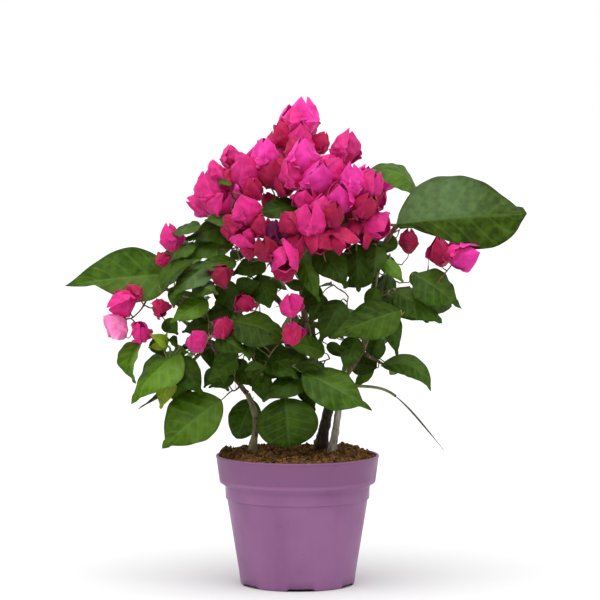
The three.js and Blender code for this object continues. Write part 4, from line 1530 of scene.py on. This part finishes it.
def leaf_material(name, deep, light, painted_sheen, middle, vein_share, roughness, shine):
    paint = Paint(name, roughness, shine)
    calc, remap, blend = paint.calc, paint.remap, paint.blend
    along, across, chance = blade_coordinates(paint, middle)
    veins = vein_lines(paint, along, across, RIB_STEPS, 1.5, 0.08, 0.16)
    mottle = remap(paint.cloud(170, 4), 0.32, 0.7, 0, 1)
    base = blend(mottle, colour(*deep), colour(*light))
    # Painted highlight: one half of each blade's upper side, from the base to past the middle, is blended
    # towards a lighter, greyer colour that stands in for the light's reflection.
    painted_sheen_mask = calc("MULTIPLY", remap(across, -0.04, 0.04, 1, 0), remap(along, 0.45, 0.85, 1, 0))
    base = blend(calc("MULTIPLY", painted_sheen_mask, remap(mottle, 0, 1, 0.6, 1)), base, colour(*painted_sheen))
    base = blend(calc("MULTIPLY", veins, vein_share), base, toned(colour(*light), 1.7, 0.02))
    rim = remap(calc("ABSOLUTE", across), 0.8, 1.0, 1.0, 0.8)
    base = paint.shaded(base, calc("MULTIPLY", remap(chance, 0, 1, 0.8, 1.22), rim))
    height = calc("SUBTRACT", calc("MULTIPLY", paint.cloud(900, 2), 0.35), calc("MULTIPLY", veins, 0.8))
    return paint.finish(base, height, 0.35)


def bract_material(name, tone, middle):
    paint = Paint(name, 0.6, 0.2)
    paint.set({"Subsurface Weight": 0.3, "Subsurface Radius": (1.0, 0.35, 0.6), "Subsurface Scale": 0.002,
               "Sheen Weight": 0.08, "Sheen Roughness": 0.4})
    calc, remap, blend = paint.calc, paint.remap, paint.blend
    along, across, chance = blade_coordinates(paint, middle)
    veins = vein_lines(paint, along, across, 5.0, 2.4, 0.05, 0.12)
    full = colour(*tone)
    base = blend(remap(paint.cloud(140, 4), 0.3, 0.72, 0, 1), toned(full, 0.74), full)
    base = blend(calc("MULTIPLY", veins, 0.3), base, toned(full, 0.6))
    base = blend(remap(along, 0.0, 0.35, 0.35, 0), base, toned(full, 1.1, 0.05))
    base = paint.shaded(base, remap(chance, 0, 1, 0.84, 1.12))
    height = calc("SUBTRACT", calc("MULTIPLY", paint.cloud(700, 3), 0.5), calc("MULTIPLY", veins, 0.6))
    return paint.finish(base, height, 0.4)


def bark_material(name, deep, light, spots, roughness=0.75):
    paint = Paint(name, roughness, 0.3)
    streaks = paint.remap(paint.cloud(420, 5, (1, 1, 0.18), 0.6), 0.3, 0.68, 0, 1)
    base = paint.blend(streaks, colour(*deep), colour(*light))
    base = paint.blend(paint.remap(paint.cloud(260, 3), 0.58, 0.68, 0, 0.8), base, colour(*spots))
    height = paint.calc("ADD", streaks, paint.calc("MULTIPLY", paint.cloud(1500, 3), 0.4))
    return paint.finish(base, height, 0.6, 0.0006)


def stalk_material(name, deep, light):
    paint = Paint(name, 0.5, 0.4)
    base = paint.mottled(paint.cloud(130, 3), 0.35, 0.65, deep, light)
    return paint.finish(base, paint.cloud(1400, 2, (1, 1, 0.3)), 0.3, 0.0003)


def soil_material(name, deep, light, scale=260):
    paint = Paint(name, 0.95, 0.15)
    base = paint.mottled(paint.cloud(scale, 6, distortion=0.4), 0.35, 0.66, deep, light)
    return paint.finish(base, paint.cloud(900, 5), 0.9, 0.0012)


RIM_FOOT = 83.0  # from here up the rim is painted a shade darker: painted shade


def pot_material():
    """Violet moulded plastic: satin, a little clouded, with fine rub marks and dust."""
    paint = Paint("violet_plastic", 0.5, 0.18)
    remap, blend, cloud = paint.remap, paint.blend, paint.cloud
    base = paint.mottled(cloud(22, 3), 0.35, 0.65, (136, 90, 132), (146, 99, 142))
    base = blend(remap(cloud(60, 4, (1, 1, 0.12)), 0.42, 0.6, 0, 0.35), base, colour(150, 103, 146))
    # Painted shade: the rim's colour is darkened from RIM_FOOT up.
    painted_rim_shade = remap(paint.part(paint.place(), 2), RIM_FOOT * MM, (RIM_FOOT + 2) * MM, 0, 0.75)
    base = blend(painted_rim_shade, base, colour(124, 80, 119))
    base = blend(remap(cloud(330, 4, (1, 1, 0.5), 1.5), 0.66, 0.72, 0, 0.4), base, colour(108, 66, 106))
    paint.set({"Roughness": remap(cloud(70, 4), 0.3, 0.7, 0.36, 0.5)})
    height = paint.calc("ADD", cloud(1900, 3), paint.calc("MULTIPLY", cloud(90, 3), 1.5))
    return paint.finish(base, height, 0.12, 0.0004)


# ---------------------------------------------------------------- light and floor


FLOOR_SIZE, FLOOR_SIDES = 60.0, 8  # half its width in metres, and its squares along a side
FLOOR_TONES = (0.66, 0.66, 0.66, 1), (0.68, 0.68, 0.68, 1)
ROOM = (-0.8, -0.2, 0.25)  # the darker room in front: where it is full, where it ends, how bright it is
SUN_AT, SUN_LOOK = np.array((-0.14, -0.6, 1.6)), np.array((0, 0, 0.2))
SUN_POWER, SUN_SOFTNESS = 2.9, 70


def make_floor():
    me = bpy.data.meshes.new("floor")
    marks = np.linspace(-FLOOR_SIZE, FLOOR_SIZE, FLOOR_SIDES + 1)
    row = FLOOR_SIDES + 1
    corners = [j * row + i for j in range(FLOOR_SIDES) for i in range(FLOOR_SIDES)]
    faces = [(c, c + 1, c + row + 1, c + row) for c in corners]
    me.from_pydata([(x, y, 0.0) for y in marks for x in marks], [], faces)
    paint = Paint("floor_white", 0.9, 0.1)
    me.materials.append(paint.finish(paint.blend(paint.cloud(3, 2), *FLOOR_TONES)))
    add_object("floor", me)


def make_light():
    world = bpy.data.worlds.new("studio")
    world.use_nodes = True
    nodes = Nodes(world.node_tree)
    toward = nodes.part(nodes.node("TexCoord", {}, "Generated"), 1)
    background = nodes.tree.nodes["Background"]
    nodes.feed(background.inputs["Color"], (1, 1, 1, 1))
    nodes.feed(background.inputs["Strength"], nodes.remap(toward, ROOM[0], ROOM[1], ROOM[2], 1.0))
    bpy.context.scene.world = world
    sun = bpy.data.lights.new("softbox", "SUN")
    sun.energy = SUN_POWER
    sun.angle = math.radians(SUN_SOFTNESS)
    add_object("softbox", sun, SUN_AT, SUN_LOOK - SUN_AT)
    bpy.context.scene.view_settings.view_transform = "Standard"


# ---------------------------------------------------------------- the plant


STEMS = {  # the piece that each stem becomes, its dark and light bark and the spots on it
    # The trunk's near-black bark is partly painted shade, standing in for the shade of the crown over it.
    "trunk": ("bark_trunk", (34, 28, 24), (78, 66, 54), (20, 16, 14)),
    "grey_stem": ("bark_grey_stem", (132, 124, 112), (186, 180, 168), (60, 52, 44)),
    "left_stem": ("bark_left_stem", (92, 90, 62), (140, 134, 100), (66, 56, 42)),
}


STEM_FLARE = 1.6  # how much thicker a stem is at its foot
TIP_POINTS, TIP_SHARE = 6, 0.6  # a bough grows thinner over its last points, to this share
TRUNK_SIDES, LIMB_SIDES = 24, 18


def make_limbs(lines):
    boughs, nodes = Heap(), []
    for i, (name, (line, radii)) in enumerate(lines.items()):
        if name == "drooping_leaf":
            droop(line)
            continue
        thick = name == "trunk"
        if name in STEMS:
            heap = Heap()
            radii = radii + STEM_FLARE * np.exp(-np.linspace(0, len(line) * LINE_STEP, len(line)) / 6.0)
        else:
            heap = boughs
            nodes.append(name)
            tip = radii[-TIP_POINTS:] * np.linspace(1, TIP_SHARE, TIP_POINTS)
            radii = np.concatenate((radii[:-TIP_POINTS], tip))
        sides = TRUNK_SIDES if thick else LIMB_SIDES
        tube(heap, line, radii, sides, bark_relief(i * 3.7, 1.0 if thick else 0.7))
        if name in STEMS:
            piece, *tones = STEMS[name]
            make_piece(piece, heap, [bark_material(piece, *tones)], "bark", [name])
    paint = bark_material("bark_boughs", (70, 54, 38), (128, 106, 80), (48, 36, 26))
    make_piece("bark_boughs", boughs, [paint], "bark", nodes)


STALKS = (  # piece, its heap, its material with a dark and a light colour, its slot
    ("shoots", shoots, "shoot_green", (96, 108, 50), (138, 128, 80), "leaf"),
    ("thorns", thorns, "thorn_tan", (104, 82, 50), (142, 118, 78), "bark"),
    ("leaf_stalks", petioles, "leaf_stalk", (84, 104, 46), (124, 134, 74), "leaf"),
    ("bloom_stalks", peduncles, "bloom_stalk", (150, 92, 84), (170, 150, 106), "bract"),
    ("flower_tubes", tubes_of_flowers, "flower_tube", (176, 52, 88), (206, 120, 120), "bract"),
    ("flower_lips", flower_lips, "flower_cream", (236, 222, 190), (248, 240, 222), "bract"),
)


def make_pieces(all_masses):
    done = set()

    def make_blades(kind, tint, heaps, materials, slot):
        for i, heap in enumerate(heaps):
            make_piece(f"{kind}_{tint}_{i + 1}", heap, materials, slot, heap.masses)
            done.update(heap.masses)

    for tint, (deep, light, painted_sheen, under, shine) in LEAF_TINTS.items():
        upper = leaf_material("leaf_" + tint, deep, light, painted_sheen, UPPER_MIDDLE, 0.3, 0.4, shine)
        duller = [c * 0.9 for c in under]
        lower = leaf_material("leaf_under_" + tint, duller, under, under, UNDER_MIDDLE, 0.4, 0.6, 0.08)
        slot = "young_leaf" if tint == "young" else "leaf"
        make_blades("leaves", tint, leaf_heaps[tint], [upper, lower], slot)
    for tint, (inner, outer) in BRACT_TINTS.items():
        upper = bract_material("bract_inner_" + tint, inner, UPPER_MIDDLE)
        lower = bract_material("bract_outer_" + tint, outer, UNDER_MIDDLE)
        make_blades("bracts", tint, bract_heaps[tint], [upper, lower], "bract")
    paint = bark_material("twig_bark", (74, 56, 36), (128, 100, 66), (50, 38, 26), 0.65)
    make_piece("twigs", twigs, [paint], "bark", all_masses - done)
    for name, heap, paint, deep, light, slot in STALKS:
        make_piece(name, heap, [stalk_material(paint, deep, light)], slot)


GROUND = (  # piece, heap, material with dark and light colour and grain, whether smooth, replaced nodes
    ("soil_mound", soil_mound, "peat", (70, 49, 25), (128, 92, 48), 260, True, ["soil"]),
    ("soil_crumbs_dark", crumbs_dark, "soil_crumbs_dark", (57, 40, 22), (110, 78, 42), 500, False, []),
    ("soil_crumbs_brown", crumbs_brown, "soil_crumbs_brown", (106, 76, 39), (148, 108, 58), 500, False, []),
    ("soil_crumbs_rust", crumbs_rust, "soil_crumbs_rust", (116, 78, 39), (148, 104, 57), 500, False, []),
    ("soil_fibres", fibres, "soil_fibre", (120, 78, 42), (168, 122, 76), 300, True, []),
)


def make_ground():
    make_soil()
    scatter_soil()
    for name, heap, paint, deep, light, grain, smooth, nodes in GROUND:
        make_piece(name, heap, [soil_material(paint, deep, light, grain)], "potting_soil", nodes, smooth)
    make_pot()
    make_piece("pot_shell", pot_shell, [pot_material()], "pot_plastic", ["pot"])


SIDE_EYES = (0, 2400, 600), (-2400, 0, 600), (2400, 0, 600)  # the crown is seen from behind, left and right
BRIDGE = 26  # in these views a gap of up to this many cells between two masses is filled too

masses = {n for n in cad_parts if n.endswith(LEAF_ENDS + BRACT_ENDS)}
crown = crown_tree(sorted(masses - {"drooping_leaf"}))
front = View(CAMERA_AT, crown, *opening_rays())
others = [View(eye, crown, bridge=BRIDGE) for eye in SIDE_EYES]
views = [front] + others


def main():
    make_camera()
    make_light()
    make_floor()
    lines = limb_lines()
    spread_twigs(sorted(n for n in masses if n.endswith("s")))
    hand_leaves()
    hand_blooms()
    cover_with_blooms(front, shortest=18, longest=28)
    cover_with_leaves(front, shortest=17, longest=36, least=7)
    for name, plan in BLOOM_MASSES.items():
        fill_with_blooms(name, *plan)
    for name, plan in LEAF_MASSES.items():
        fill_with_leaves(name, *plan)
    for side in others:
        cover_with_blooms(side, shortest=20, longest=30)
        cover_with_leaves(side, shortest=24, longest=44, least=20)
        side.given_up[:] = False
        cover_with_leaves(side, shortest=17, longest=28, least=10)
    make_limbs(lines)
    make_pieces(masses)
    make_ground()


main()
